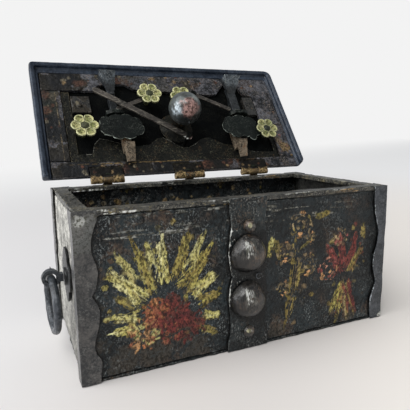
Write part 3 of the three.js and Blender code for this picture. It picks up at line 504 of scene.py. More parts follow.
def ball_steel():
    """Old polished steel: dark, with a pale bluish sheen at the left and a worn reddish patch in front; its
    highlights, reflections and shade are painted on as patches.
    """
    g = Skin("ball_steel")
    low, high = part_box("key_ball")
    middle = ((low.x + high.x) / 2, low.y + BALL_RADIUS * MM, high.z - BALL_RADIUS * MM)
    fleck = g.noise(2.6, 5, 0.7, 92)
    blot = g.noise(7, 4, 0.6, 91)
    ragged = g.times(g.maths("SUBTRACT", g.add(fleck, g.times(blot, 1.6)), 1.3), 0.011)

    def patch(place, near, far, strength):
        centre = [middle[k] + place[k] * MM for k in range(3)]
        away = g.node("ShaderNodeVectorMath", {0: g.place, 1: centre}, operation="DISTANCE")
        return g.step(g.add(away.outputs["Value"], ragged), near * MM, far * MM, strength, 0)

    colour = g.mix(g.step(blot, 0.4, 0.62), srgb(88, 94, 94), srgb(60, 62, 60))
    colour = g.mix(g.step(fleck, 0.56, 0.68, 0, 0.5), colour, srgb(140, 148, 152))
    for place, near, far, tint, strength in BALL_LIGHT_AND_SHADE_PATCHES:
        colour = g.mix(patch(place, near, far, strength), colour, srgb(*tint))
    red = g.mix(g.step(fleck, 0.4, 0.6), srgb(78, 54, 48), srgb(192, 152, 144))
    worn = patch((-1.0, -13.7, -0.6), 5, 9.5, 0.92)
    colour = g.mix(worn, colour, red)
    # Corners and hollows go dark: dirt lodged there, and painted shade.
    colour = g.mix(g.step(g.attribute("edge"), -0.1, -0.7, 0, 0.8), colour, srgb(20, 20, 20))
    return g.finish(colour, g.step(worn, 0, 1, 0.4, 0.52), fleck, 0.12, 0.4, 0.4, (0.2, 0.16))


def petal_paint():
    """Pale yellow paint on iron, dark in the hollows and grooves."""
    g = Skin("petal_paint")
    broad = g.noise(5, 4, 0.6, 95)
    crack = g.noise(1.3, 4, 0.65, 96)
    edge = g.attribute("edge")
    colour = g.mix(g.step(broad, 0.4, 0.6), srgb(196, 192, 132), srgb(136, 142, 86))
    colour = g.mix(g.step(edge, 0.1, 0.7, 0, 0.8), colour, srgb(220, 218, 174))
    worn = g.add(crack, g.times(edge, -0.14))
    colour = g.mix(g.step(worn, 0.5, 0.58, 0, 0.9), colour, srgb(66, 64, 36))
    # Darkening laid on the mesh: dirt and painted shade.
    colour = g.mix(g.attribute("shade_and_dirt"), colour, srgb(28, 34, 22))
    return g.finish(colour, g.step(crack, 0.3, 0.7, 0.45, 0.7), crack, 0.25, 0.0, 0.35, (0.0, 0.3))


PAINTED = iron(
    "old_painted_iron", (1, 5, 7), (40, 50, 54), (138, 146, 146), ((46, 36, 32), (80, 66, 54)),
    (0.54, 0.7), 20, specks=0.7, depth=0.9, coat=(0.35, 0.2),
    spread=(0.44, 0.59), stretch=(1, 1, 0.7), shift=5)
DARK = iron(
    "dark_iron", (2, 6, 8), (46, 53, 55), (140, 144, 142), ((62, 50, 44), (92, 76, 62)),
    (0.58, 0.74), 12, specks=0.65, depth=0.7, coat=(0.35, 0.2),
    spread=(0.44, 0.59), stretch=(1, 1, 0.7), shift=11)
BOSS = iron(
    "boss_iron", (5, 6, 7), (50, 47, 44), (142, 138, 130), ((66, 54, 46), (96, 78, 62)),
    (0.54, 0.7), 10, specks=0.45, rough=(0.3, 0.5), depth=0.2, coat=(1.0, 0.24),
    pitting=0.3, stretch=(1, 1, 0.28), shift=13)
STRAP = iron(
    "strap_iron", (40, 42, 44), (84, 82, 80), (156, 156, 152),
    specks=0.2, rough=(0.36, 0.6), worn_share=0.4, coat=(0.6, 0.22), pitting=0.2, shift=21)
STRAP_DARK = iron(
    "dark_strap_iron", (34, 39, 44), (76, 80, 86), (134, 138, 142),
    specks=0.25, worn_share=0.5, depth=0.25, coat=(0.5, 0.25), pitting=0.2, shift=23)
PLATE_BLACK = iron(
    "plate_iron", (4, 5, 6), (30, 32, 33), (96, 98, 98),
    specks=0.45, rough=(0.4, 0.6), coat=(0.4, 0.25), shift=27)
# The sides' pale grey: partly their own colour, partly painted sheen of the light from the left.
SIDE_TONE_AND_SHEEN = iron(
    "side_iron", (98, 97, 92), (208, 206, 198), (214, 212, 204),
    rough=(0.45, 0.7), worn_share=0.4, depth=0.4, coat=(0.2, 0.3), pitting=0.8, shift=31)
RIM = iron(
    "rim_iron", (14, 17, 18), (82, 81, 77), (168, 164, 150), ((88, 80, 58), (136, 124, 84)),
    (0.6, 0.74), 12, specks=0.7, depth=0.5, coat=(0.5, 0.2), shift=37)
LIP = iron(
    "lid_iron", (24, 33, 46), (56, 66, 80), (108, 116, 126),
    rough=(0.34, 0.56), worn_share=0.3, specks=0.2, depth=0.2, coat=(0.4, 0.25), pitting=0.2, shift=51)
RECESS = iron(
    "recess_iron", (2, 3, 4), (12, 14, 14), (44, 44, 38),
    specks=0.45, level=0.05, rough=(0.6, 0.9), metallic=0.0, coat=(0.0, 0.3), shift=53)
BROWN = iron(
    "brown_iron", (9, 12, 17), (98, 99, 105), (150, 142, 132), ((84, 56, 46), (126, 100, 76)),
    (0.6, 0.76), 9, specks=0.55, spread=(0.44, 0.6), rough=(0.42, 0.7), depth=0.4, worn_share=0.5, shift=57)
RUSTY = iron(
    "rusty_iron", (3, 4, 4), (26, 28, 25), (104, 102, 84), ((56, 42, 32), (92, 72, 50)),
    (0.62, 0.76), 7, specks=0.6, rough=(0.45, 0.75), level=0.1, depth=0.4, coat=(0.15, 0.3), shift=61)
BRACKET = iron(
    "bracket_iron", (7, 8, 9), (56, 56, 55), (134, 130, 120), ((66, 50, 42), (100, 82, 66)),
    (0.6, 0.74), 7, rough=(0.42, 0.7), depth=0.4, shift=63)
GOLD = iron(
    "golden_iron", (36, 32, 22), (112, 92, 60), (196, 178, 136), ((84, 54, 32), (132, 92, 52)),
    (0.5, 0.66), 4, level=0.4, metallic=0.3, depth=0.35, coat=(0.3, 0.2), shift=67)
LEVER = iron(
    "lever_iron", (28, 27, 26), (76, 71, 66), (160, 154, 140),
    specks=0.4, rough=(0.38, 0.64), depth=0.25, stretch=(0.35, 1, 1), shift=71)
BOLT = iron(
    "bolt_iron", (36, 43, 48), (98, 106, 112), (190, 194, 192),
    specks=0.35, rough=(0.36, 0.6), depth=0.25, coat=(0.4, 0.25), pitting=0.3, shift=77)
COVER = iron(
    "cover_iron", (2, 6, 5), (15, 22, 20), (158, 164, 154), worn_at=(0.35, 0.75), worn_share=0.85,
    specks=0.12, rough=(0.4, 0.62), depth=0.2, coat=(0.08, 0.25), pitting=0.3, shift=81)
STUB = iron(
    "stub_iron", (46, 40, 33), (142, 127, 108), (206, 194, 170), ((84, 58, 40), (132, 98, 68)),
    (0.56, 0.72), 5, rough=(0.4, 0.65), depth=0.35, coat=(0.2, 0.25), shift=87)
BALL = ball_steel()
PETAL = petal_paint()


# Chest

WALL = ((22, 0.25), (5, 0.14))
PLATE = ((12, 0.2), (3, 0.08))
FRONT_LEFT_SALT = 300
FRONT_RIGHT_SALT = 700
GOLDEN_ANGLE = 137.5

PALE = ((212, 206, 134), (192, 182, 100), (230, 224, 166))
OCHRE = ((140, 122, 62), (114, 106, 56), (162, 144, 82))
REDS = ((112, 46, 44), (134, 60, 52), (90, 38, 40))
ORANGES = ((188, 122, 78), (214, 162, 112), (160, 98, 70))
PINKS = ((166, 92, 84), (204, 146, 124), (138, 66, 62))
TANS = ((142, 122, 92), (118, 104, 78), (170, 150, 112))
STAINS = ((74, 54, 48), (84, 80, 72), (60, 66, 66))
GREYS = ((120, 124, 122), (150, 152, 148), (96, 98, 94))
GOLDEN = (146, 122, 88)
DUSTY = (120, 112, 94)
# Pale colours for bare wear, and for painted highlights and sheen.
BRIGHT_WEAR_AND_HIGHLIGHT = (206, 208, 204)
GREY_WEAR_AND_SHEEN = (150, 152, 150)
# Greyish purple laid low on the front: a painted reflection of the pale floor.
FLOOR_REFLECTION_GREY = (58, 56, 59)


def on_floor(co, normal):
    return np.stack([co[:, 0], co[:, 1], np.maximum(co[:, 2], 0)], 1)


def along(degrees):
    return np.array([math.cos(math.radians(degrees)), math.sin(math.radians(degrees))])


def leaf(canvas, root, degrees, length, width, tints, salt, strength=1.0):
    """A long leaf: broad strokes side by side that close in on its tip."""
    way, side = along(degrees), along(degrees + 90)
    count = max(3, round(width / 1.8))
    for k in range(count):
        off = (k + 0.5) / count - 0.5
        start = root + side * off * width * 0.8 + way * length * draw(salt + k, 0, 0.16)
        reach = way * length * (1 - 0.6 * abs(off)) * draw(salt + k + 20, 0.8, 1.0)
        reach = reach - side * off * width * 0.3
        canvas.stroke(start, reach, draw(salt + k + 80, 3.2, 4.4), pick(tints, salt + k),
                      strength * draw(salt + k + 60, 0.75, 1.0), salt + k, -off * width * 0.3, 0.42)


def bud(canvas, centre, reach, tints, salt):
    """A round bud: broken rings of short curved strokes about a dark heart."""
    for ring, share in enumerate((0.35, 0.7, 1.0)):
        count = 4 + 3 * ring
        turn = 300 / count
        sag = reach * share * (1 - math.cos(math.radians(turn / 2)))
        for k in range(count):
            number = salt + 20 * ring + k
            degrees = 360 * k / count + 50 * ring + draw(number, -12, 12)
            first, last = along(degrees) * reach * share, along(degrees + turn) * reach * share
            canvas.stroke(centre + first, last - first, 2.7, pick(tints, number),
                          draw(number + 70, 0.6, 1.0), number, -sag)


def blossom(canvas, centre, reach, count, tints, salt):
    """A flower head: dabs, and short broken strokes in rings round its heart."""
    few = max(4, count // 4)
    for k in range(few):
        out = 0.75 * reach * math.sqrt((k + 0.3) / few)
        canvas.dab(centre + along(GOLDEN_ANGLE * k + 40) * out, reach * draw(salt + k + 420, 0.2, 0.36),
                   pick(tints, salt + 2 * k), 0.75, salt + k + 450)
    for k in range(count):
        degrees = GOLDEN_ANGLE * k
        start = centre + along(degrees) * reach * math.sqrt((k + 0.5) / count) * 0.7
        way = along(degrees + draw(salt + k, -35, 35)) * reach * draw(salt + k + 90, 0.25, 0.45)
        canvas.stroke(start, way, reach * draw(salt + k + 180, 0.14, 0.24), pick(tints, salt + k),
                      draw(salt + k + 270, 0.6, 1.0), salt + k, draw(salt + k + 350, -0.8, 0.8), 0.35)


def flecks(canvas, count, xs, ys, radii, tints, strength, salt):
    """Dabs scattered over a rectangle; xs, ys and radii are each (salt, low, high)."""
    for k in range(count):
        x, y, radius = (draw(first + k, low, high) for first, low, high in (xs, ys, radii))
        canvas.dab((x, y), radius, pick(tints, k), strength, salt + k)


def faded(canvas, middle, size, count, tints, salt):
    """Specks of paint that is nearly gone, scattered in an oval."""
    for k in range(count):
        turn, out = draw(salt + k, 0, 360), math.sqrt(draw(salt + 200 + k, 0.05, 1))
        canvas.dab(middle + along(turn) * size * out, draw(salt + 400 + k, 0.9, 2.6),
                   pick(tints, k), draw(salt + 600 + k, 0.4, 0.8), salt + 800 + k)


def weather_and_floor_reflection(canvas):
    """Stains, rubbed streaks below the rim, thin scratches, and greyish dabs low on the front, a painted
    reflection of the floor.
    """
    flecks(canvas, 34, (500, -92, 94), (540, 6, 94), (580, 4, 13), STAINS + TANS + STAINS, 0.16, 620)
    for k in range(38):
        start = (draw(700 + k, -94, 80 if k % 3 else -40), draw(740 + k, 82, 97))
        way = (draw(780 + k, 6, 26), draw(820 + k, -1.5, 0.8))
        canvas.stroke(start, way, draw(860 + k, 1.0, 2.2), pick(GREYS, k), 0.75, 900 + k)
    for k in range(30):
        start = (draw(1000 + k, -92, 94), draw(1040 + k, 14, 92))
        way = along(draw(1080 + k, 60, 150)) * draw(1120 + k, 4, 15)
        canvas.stroke(start, way, 0.9, pick(GREYS, k), 0.5, 1200 + k, draw(1160 + k, -2, 2))
    # Painted reflection of the floor, low on the front.
    for x, z, reach in ((-88, 8, 15), (-66, 7, 13), (-40, 9, 13), (-100, 20, 10), (20, 8, 9), (80, 6, 10)):
        canvas.dab((x, z), reach, FLOOR_REFLECTION_GREY, 0.55, FRONT_LEFT_SALT - round(x))


LEFT_HEART = (-59, 32)
# Leaves of the left panel: direction, start, length and width
LEFT_LEAVES = (
    (190, 16, 20, 11), (170, 14, 24, 13), (152, 16, 24, 13), (134, 16, 35, 17), (113, 15, 40, 14),
    (124, 26, 30, 11), (92, 18, 34, 13), (72, 20, 38, 15), (101, 30, 24, 10), (53, 18, 34, 17),
    (34, 18, 27, 15), (62, 30, 28, 10), (14, 20, 20, 13), (-8, 23, 16, 11), (-26, 24, 16, 9),
)
# Flower heads of the left panel: x, z, reach, number of strokes and colours
LEFT_BLOSSOMS = (
    (-57, 33, 15, 44, REDS), (-44, 24, 12, 30, REDS + REDS[2:]), (-66, 37, 9, 24, ORANGES + REDS[1:2]),
    (-73, 23, 11, 30, ORANGES + PALE[:1]), (-56, 21, 8, 20, REDS[:2] + ORANGES[2:]),
)
RIGHT_HEART = (76, 34)
# Leaves of the right panel: direction, start, length, width and colours
RIGHT_LEAVES = (
    (122, 5, 30, 12, REDS + PINKS[:1]), (101, 7, 32, 13, PINKS[:1] + REDS),
    (76, 6, 31, 13, REDS[1:2] + REDS), (60, 5, 26, 9, REDS[2:] + OCHRE), (238, 0, 31, 11, PALE[1:2] + OCHRE),
    (255, 0, 33, 12, PALE[1:2] + REDS[1:2] + OCHRE), (272, 0, 34, 12, TANS + OCHRE[2:] + REDS[:1]),
    (290, 0, 33, 12, REDS + TANS[:1] + OCHRE[:1]),
)
# Buds of the stem on the right panel: x, z and reach
STEM_BUDS = ((36, 78, 8.5), (25, 61, 6.5), (42, 50, 7.5), (24, 36, 5), (45, 68, 4))
STEM_TINTS = (OCHRE[0], TANS[1], OCHRE[2])


def paint_left_panel(canvas):
    """A sheaf of pale leaves round a red flower."""
    salt = FRONT_LEFT_SALT
    for k, (degrees, near, length, width) in enumerate(LEFT_LEAVES):
        tints = OCHRE + PALE[1:2] if k % 5 in (2, 4) else PALE + PALE + OCHRE[2:]
        root = LEFT_HEART + along(degrees) * near
        leaf(canvas, root, degrees + draw(salt + k, -4, 4), length, width, tints, salt + 60 + 11 * k,
             (1.0, 0.8, 0.66)[k % 3])
    for x, z, reach, count, tints in LEFT_BLOSSOMS:
        blossom(canvas, (x, z), reach, count, tints, salt + 400 - round(x))


def paint_right_panel(canvas):
    """A budding stem, and a small red flower over pale leaves."""
    salt = FRONT_RIGHT_SALT
    leaf(canvas, (12, 58), 78, 17, 8, PALE + OCHRE, salt)
    leaf(canvas, (19, 59), 96, 13, 6, OCHRE, salt + 10)
    for k, (x, z, reach) in enumerate(STEM_BUDS):
        foot = np.array((30 + 0.07 * z, z - 9))
        canvas.stroke(foot, (x, z - 0.6 * reach) - foot, 3.0, OCHRE[k % 3], 0.9, salt + 60 + k, 1.0)
        bud(canvas, (x, z), reach, TANS + OCHRE[2:] + ORANGES[1:2], salt + 100 + 60 * k)
    for k, tint in enumerate(STEM_TINTS):
        canvas.stroke((25 + 1.6 * k, 9 + 3 * k), (8, 63 - 12 * k), 3.6, tint, 0.9, salt + 500 + k,
                      draw(salt + k, -2, 1))
    for k, (degrees, near, length, width, tints) in enumerate(RIGHT_LEAVES):
        root = RIGHT_HEART + along(degrees) * near
        leaf(canvas, root, degrees, length, width, tints, salt + 600 + 13 * k)
    bud(canvas, (60, 44), 8, PINKS + ORANGES[1:2], salt + 780)
    bud(canvas, (70, 66), 6, TANS + PINKS[:1], salt + 820)
    leaf(canvas, (90, 62), 86, 13, 6, OCHRE + TANS, salt + 860)
    leaf(canvas, (48, 82), 12, 15, 7, OCHRE[:2], salt + 880)


def strap_edge(node, side):
    """Where a strap's edge runs on the front: heights and its lowest or highest x there, in millimetres."""
    solid = points_of(NODES[node].data) / MM
    solid = solid[solid[:, 1] < solid[:, 1].min() + 0.6]
    heights = np.unique(np.round(solid[:, 2], 1))
    outermost = np.max if side > 0 else np.min
    return heights, np.array([outermost(solid[abs(solid[:, 2] - z) < 0.2][:, 0]) for z in heights])


def shadow_lines(co):
    """How dark the front is beside the straps, where dirt and shadow lie."""
    dark = np.zeros(len(co))
    uneven = 0.4 * swell(co, 5, 61)
    for node, side in (("corner_strap_front_left", 1), ("corner_strap_front_right", -1), ("front_strap", 1),
                       ("front_strap", -1)):
        heights, edge = strap_edge(node, side)
        away = abs(co[:, 0] - np.interp(co[:, 2], heights, edge))
        dark = np.maximum(dark, ramp(1.6, 0.5, away + uneven))
    return dark


@on_front(0.6, 0.8)
def paint_front(canvas, x, y, z):
    """The worn remains of foliage and flowers on the two panels, painted shadow beside the straps, and the
    bare upper right panel made darker.
    """
    weather_and_floor_reflection(canvas)
    faded(canvas, (-58, 52), (40, 38), 90, OCHRE + PALE[1:2] + STAINS, 2000)
    faded(canvas, (34, 50), (20, 40), 40, TANS[:2] + STAINS + OCHRE[:1], 3000)
    faded(canvas, (76, 40), (20, 38), 44, REDS[:1] + OCHRE + STAINS, 4000)
    paint_left_panel(canvas)
    paint_right_panel(canvas)
    cloud = 5 * swell(canvas.co, 12, 83, 3)
    right_panel = ramp(6, 18, x + cloud) * ramp(10, 34, z + cloud)
    unpainted = 1 - np.clip(1.4 * canvas.cover, 0, 1)
    # Painted shadow beside the straps, and darker over the bare upper right panel.
    canvas.shade_and_dirt(np.maximum(0.9 * shadow_lines(canvas.co), 0.46 * right_panel * unpainted))


def shade_side(mesh, co, normal):
    """Painted shade in the corners at the foot and by the front edge, darker towards the bottom, and painted
    shade on the inner face.
    """
    cloud = 6 * swell(co, 14, 77, 3)
    inner = ramp(-0.3, 0.3, -normal[:, 0] * np.sign(co[:, 0]))
    corner = ramp(12, 0, co[:, 2] + cloud) + ramp(8, 0, co[:, 1] + 55 + cloud)
    low = 0.22 * ramp(42, 16, co[:, 2] + cloud)
    # Painted shade in corners and inside, darker towards the bottom.
    set_attribute(mesh, "shade_and_dirt", np.clip(0.4 * corner + low + 0.9 * inner, 0, 0.93))


BOSS_MIDDLES = {"upper": (-1, 64.6), "lower": (-1, 34.5)}
BOSS_RADIUS = 12.5
# Painted highlights on a boss: x and z from its middle, radius and strength
BOSS_SHINE = ((-5.6, 6.0, 4.6, 0.42), (-3.4, 3.0, 4.0, 0.36), (-8.0, 8.6, 2.4, 0.4), (-1.4, 8.0, 2.6, 0.3))


def egg(level):
    """A shape for a boss: wider below its middle than above it."""
    x, z = BOSS_MIDDLES[level]

    def shape(co, normal):
        share = np.clip((co[:, 2] - z) / BOSS_RADIUS, -1, 1)
        wide = 1 - (0.1 if level == "upper" else 0.05) * share
        return np.stack([x + (co[:, 0] - x) * wide, co[:, 1], co[:, 2]], 1)
    return shape


def shade_and_highlight_boss(level):
    """A dress for a boss: a painted highlight streaked down its crown towards the top, and painted shade
    round its foot, darkest below and to the right.
    """
    middle_x, middle_z = BOSS_MIDDLES[level]

    @on_front(0.2, 0.6)
    def dress(canvas, x, y, z):
        for k, (aside, above, radius, strength) in enumerate(BOSS_SHINE):
            canvas.dab((middle_x + aside, middle_z + above), radius, BRIGHT_WEAR_AND_HIGHLIGHT, strength,
                       31 + 7 * k + len(level))
        for k in range(8):
            # Painted highlight streaks down the crown.
            start = (middle_x - 8.5 + 1.1 * k, middle_z + draw(100 + k, 6, 9.5))
            way = (0.5, -draw(110 + k, 5, 10))
            canvas.stroke(start, way, 2.6, (194, 195, 192), 0.72 - 0.06 * k, 440 + k, bristle=0.3)
        for k in range(9):
            start = (middle_x + draw(60 + k, -7, 8), middle_z + draw(70 + k, -2, 4))
            way = (draw(80 + k, -0.6, 0.6), -draw(90 + k, 5, 10))
            canvas.stroke(start, way, 1.5, pick(STAINS + TANS, k), 0.55, 400 + k, bristle=0.35)
        # Painted shade round the foot, darkest below and to the right.
        across, up = (x - middle_x) / BOSS_RADIUS, (z - middle_z) / BOSS_RADIUS
        away = np.hypot(across, up) + 0.4 * (0.5 * across - 0.9 * up)
        canvas.shade_and_dirt(0.9 * ramp(0.35, 1.15, away + 0.06 * swell(canvas.co, 4, 8)))
    return dress


@on_front(0.2, 0.6)
def highlight_stud(canvas, x, y, z):
    # Painted highlights on the stud's crown.
    middle_x, middle_z = middle_of(x), middle_of(z)
    canvas.dab((middle_x - 1.2, middle_z + 0.9), 1.9, (196, 192, 156), 0.7, 5)
    canvas.dab((middle_x + 1.3, middle_z + 0.6), 1.3, BRIGHT_WEAR_AND_HIGHLIGHT, 0.5, 6)


@on_front(0.1, 0.5)
def dress_front_strap(canvas, x, y, z):
    """Painted shadow round the bosses, darkest below and to their right, and a painted highlight on the left
    edge beside them.
    """
    # A painted highlight along the strap's left edge.
    edge, ragged = canvas.ragged_edge(0.1, 0.35, 1.5, 21, 0.25)
    beside = ramp(52, 58, z) * ramp(84, 78, z) + 0.35
    beside += 0.8 * ramp(28, 34, z) * ramp(50, 46, z)
    canvas.rub_or_highlight(edge * (x < 0) * np.clip(beside, 0, 1), BRIGHT_WEAR_AND_HIGHLIGHT, 0.2 * ragged)
    for k in range(12):
        start = (draw(30 + k, -10, 10), draw(45 + k, 84, 97))
        way = (draw(60 + k, -0.6, 0.6), -draw(75 + k, 4, 9))
        canvas.stroke(start, way, 1.2, pick(GREYS, k), 0.5, 500 + k, bristle=0.35)
    # Painted shadow below and to the right of each boss.
    dark = np.zeros(len(x))
    for middle_x, middle_z in BOSS_MIDDLES.values():
        away = np.hypot(x - middle_x - 2.2, z - middle_z + 1.5) / BOSS_RADIUS
        dark = np.maximum(dark, ramp(1.6, 1.0, away + 0.08 * ragged))
    canvas.shade_and_dirt(0.9 * dark)


@on_front(0.1, 0.5)
def highlight_strap_head(canvas, x, y, z):
    """Painted highlights and sheen at the head of the left front strap, fainter further down."""
    flecks(canvas, 12, (230, -110, -97), (245, 80, 98), (260, 4, 8), (GREY_WEAR_AND_SHEEN, GREYS[0]), 0.5, 270)
    canvas.dab((-106, 94), 5, BRIGHT_WEAR_AND_HIGHLIGHT, 0.6, 290)
    canvas.dab((-104, 76), 8, GREYS[0], 0.3, 291)
    canvas.dab((-101, 50), 8, (96, 100, 104), 0.3, 292)


@on_front(-0.6, 0.1)
def highlight_right_strap_edge(canvas, x, y, z):
    """A painted highlight along the wavy edge of the right front strap."""
    edge, ragged = canvas.ragged_edge(0.08, 0.3, 1.5, 22, 0.15)
    broken = ramp(-0.8, 0.2, swell(canvas.co, 26, 5))
    canvas.rub_or_highlight(edge * ramp(104, 101, x) * broken, (170, 178, 186), 0.2 * ragged)
    canvas.dab((109, 2.5), 2.6, BRIGHT_WEAR_AND_HIGHLIGHT, 0.9, 8)


@on_front(0.3, 0.7)
def gild_inside(canvas, x, y, z):
    """Flecks of old golden paint and lime inside the back wall."""
    tints = (OCHRE[2], TANS[2], GREYS[0], GOLDEN, DUSTY)
    flecks(canvas, 150, (5000, -100, 70), (5200, 60, 98), (5400, 1.0, 2.8), tints, 0.85, 5600)


@on_front(0.3, 0.7)
def wear_and_highlight_rim(canvas, x, y, z):
    """Bright streaks along the rim's front edge: partly rubbed wear, partly painted highlight."""
    tints = (GREY_WEAR_AND_SHEEN, BRIGHT_WEAR_AND_HIGHLIGHT, STAINS[1], GOLDEN)
    for k in range(46):
        start = (draw(330 + k, -108, 92), draw(1600 + k, 94, 102))
        way = (draw(1650 + k, 4, 20), draw(1700 + k, -0.5, 0.5))
        canvas.stroke(start, way, draw(1750 + k, 0.8, 1.8), pick(tints, k), 1.0, 1800 + k)


def tube(path, radii):
    """A closed round bar along a path of points, in millimetres."""
    sides = 10
    points, faces = [], []
    for k, centre in enumerate(path):
        ahead = (path[min(k + 1, len(path) - 1)] - path[max(k - 1, 0)]).normalized()
        side = ahead.orthogonal().normalized() if k == 0 else (side - ahead * side.dot(ahead)).normalized()
        above = ahead.cross(side)
        for j in range(sides):
            turn = 2 * math.pi * j / sides
            points.append(centre + radii[k] * (math.cos(turn) * side + math.sin(turn) * above))
    for k in range(len(path) - 1):
        for j in range(sides):
            a, b = k * sides + j, k * sides + (j + 1) % sides
            faces.append((a, b, b + sides, a + sides))
    faces.append(tuple(range(sides))[::-1])
    faces.append(tuple(range((len(path) - 1) * sides, len(path) * sides)))
    mesh = bpy.data.meshes.new("tube")
    mesh.from_pydata(points, [], faces)
    return mesh


def scrap_curl():
    """A small curled scrap of iron between the two bosses, which the CAD doesn't have."""
    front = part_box("front_strap")[0].y / MM
    path, radii = [], []
    for k in range(29):
        turn = math.radians(30 + 300 * k / 28)
        path.append(Vector((2.9 + (2.2 - 0.03 * k) * math.cos(turn), front - 0.4 - 0.03 * k,
                            48.6 + (1.9 - 0.02 * k) * math.sin(turn))))
        radii.append(0.45 - 0.006 * k)
    mesh = remeshed(tube(path, radii), 0.2)
    put_points(mesh, relax(points_of(mesh), edges_of(mesh), 1))
    mesh.materials.append(STRAP_DARK)
    mark_edges(mesh)
    mesh.transform(CHEST)
    piece_from("scrap_curl", mesh, "chest")


def chest_pieces():
    forge("base_plate", DARK, 0.9, 2, (12, 0.35), (3.5, 0.25), shape=on_floor)
    forge("wall_back", DARK, 0.9, 1, *WALL, dress=gild_inside)
    for side in LEFT_RIGHT:
        forge("wall_" + side, SIDE_TONE_AND_SHEEN, 0.7, 1, *WALL, dress=shade_side)
    for side in SIDES:
        forge("rim_" + side, RIM, 0.5, 2, (14, 0.2), (3, 0.12), dress=wear_and_highlight_rim)
    for corner, material, dress in (
            ("front_left", STRAP, highlight_strap_head), ("front_right", STRAP_DARK, highlight_right_strap_edge),
            ("back_right", STRAP_DARK, None), ("back_left", STRAP, None)):
        forge("corner_strap_" + corner, material, 0.42, 1, *PLATE, dress=dress)
    forge("front_strap", DARK, 0.4, 1, (10, 0.2), (2.6, 0.12), dress=dress_front_strap)
    for level in BOSS_MIDDLES:
        forge("boss_" + level, BOSS, 0.4, 4, (9, 0.2), (2.6, 0.04), shape=egg(level), dress=shade_and_highlight_boss(level),
              proud=0.3)
        forge("stud_" + level, BOSS, 0.25, 2, (2.5, 0.16), dress=highlight_stud)
    scrap_curl()
    for side in LEFT_RIGHT:
        forge("handle_plate_" + side, PLATE_BLACK, 0.35, 1, (6, 0.15), (2, 0.06))
        forge("handle_eye_" + side, STRAP_DARK, 0.25, 1, (3, 0.12))
        forge("ring_" + side, STRAP_DARK, 0.35, 1, (7, 0.22), (2, 0.07))
    for side in HINGES:
        forge("hinge_leaf_chest_" + side, GOLD, 0.35, 1, (3, 0.1))
        forge("hinge_pin_" + side, GOLD, 0.25, 1, (2, 0.05))
    forge("wall_front", PAINTED, 0.55, 1, (24, 0.3), (4.5, 0.18), dress=paint_front)


# Lid

RUST = (98, 63, 48)
PINKISH = (136, 100, 96)
BLUISH = (74, 72, 92)
GREENISH = (24, 30, 26)
INK = (14, 17, 22)
EARTH = (26, 24, 21)
SLATE = (76, 80, 88)
MAUVE = (98, 88, 92)


def specks(count, xs, ys, radii, tints, strength, salt):
    """Small scattered stains inside a rectangle."""
    return tuple(
        (draw(salt + k, *xs), draw(salt + 40 + k, *ys), draw(salt + 80 + k, *radii), pick(tints, k), strength)
        for k in range(count))


# Stains on the frame's strips: x, y, radius, colour and strength
FRAME_STAINS = {
    "front": specks(7, (-108, -35), (92, 106), (9, 14), (INK,), 0.8, 1900)
    + specks(6, (-30, 20), (92, 106), (8, 12), (INK, SLATE), 0.6, 1940)
    + ((-75.7, 93, 5, RUST, 0.5), (-41, 96.5, 6, RUST, 0.5), (31, 95.4, 5, RUST, 0.5),
       (86, 98.4, 12, PINKISH, 0.45), (-60, 98, 7, DUSTY, 0.4), (10, 98, 9, BLUISH, 0.4),
       (55, 99, 8, BLUISH, 0.4))
    + specks(26, (-96, 96), (92, 104), (0.8, 2.4), (RUST, DUSTY, GOLDEN), 0.7, 2050),
    "left": specks(14, (-108, -92), (2, 98), (9, 14), (INK, GREENISH), 0.85, 2200)
    + ((-106, 66, 4, RUST, 0.6), (-104, 80, 5, RUST, 0.5), (-98, 80, 5, DUSTY, 0.35))
    + specks(16, (-108, -97), (40, 98), (0.8, 2.2), (RUST, DUSTY), 0.6, 2350),
    "right": specks(9, (94, 108), (16, 102), (7, 11), (SLATE, MAUVE), 0.5, 2450)
    + ((97, 71, 4, BLUISH, 0.6), (96, 61, 3.5, BLUISH, 0.6), (100, 85, 7, PINKISH, 0.5),
       (103, 24, 7, GOLDEN, 0.75), (99, 31, 5, GOLDEN, 0.6), (91, 11, 6, GREENISH, 0.7),
       (104, 60, 8, RUST, 0.3))
    + specks(24, (92, 108), (10, 98), (0.8, 2.4), (PINKISH, GOLDEN, DUSTY), 0.7, 2500),
    "back": specks(20, (-108, 62), (1, 13), (9, 13), (EARTH, INK), 0.9, 2650)
    + ((-57, 7, 7, RUST, 0.4), (45, 8, 9, RUST, 0.45), (60, 5, 8, GOLDEN, 0.5), (17, 9, 8, RUST, 0.4))
    + specks(38, (-90, 80), (1, 13), (0.8, 2.2), (GOLDEN, RUST, DUSTY), 0.85, 2800),
}
# Thin lines where the window's border meets the frame, partly bare metal and partly painted highlight of the
# lit edge: start, way along it and colour
LIT_AND_BARE_BORDER_LINES = {
    "left": ((-97.2, 92), (0, -78), (126, 112, 88)),
    "back": ((-96, 13.6), (186, 0), (128, 106, 66)),
}
# Lumps on the frame's back strip: x, y, radius and height
BACK_LUMPS = (
    (-0.6, 12, 2.2, 0.4), (-67, 11, 2.0, 0.4), (-57, 6, 3.0, 0.4), (-26, 9, 2.0, 0.3), (42, 9, 2.4, 0.3),
)
BRACKET_STAINS = (
    (-88, 82, 8, INK, 0.8), (-74, 82, 7, INK, 0.8), (-80, 66, 9, INK, 0.7), (-80, 92, 7, INK, 0.5),
    (-80, 74, 2.4, DUSTY, 0.9), (-79, 84, 3, DUSTY, 0.35),
)
# Where the lock plate's edges are bare or carry a painted highlight: limits of x, limits of y, colour and
# strength
PLATE_WEAR_AND_HIGHLIGHT = (
    (-80, 80, 20, 60, (150, 150, 142), 0.9), (-96, -86, 14, 96, DUSTY, 0.8), (-96, 10, 12, 17, DUSTY, 0.8),
    (60, 96, 12, 17, RUST, 0.8),
)
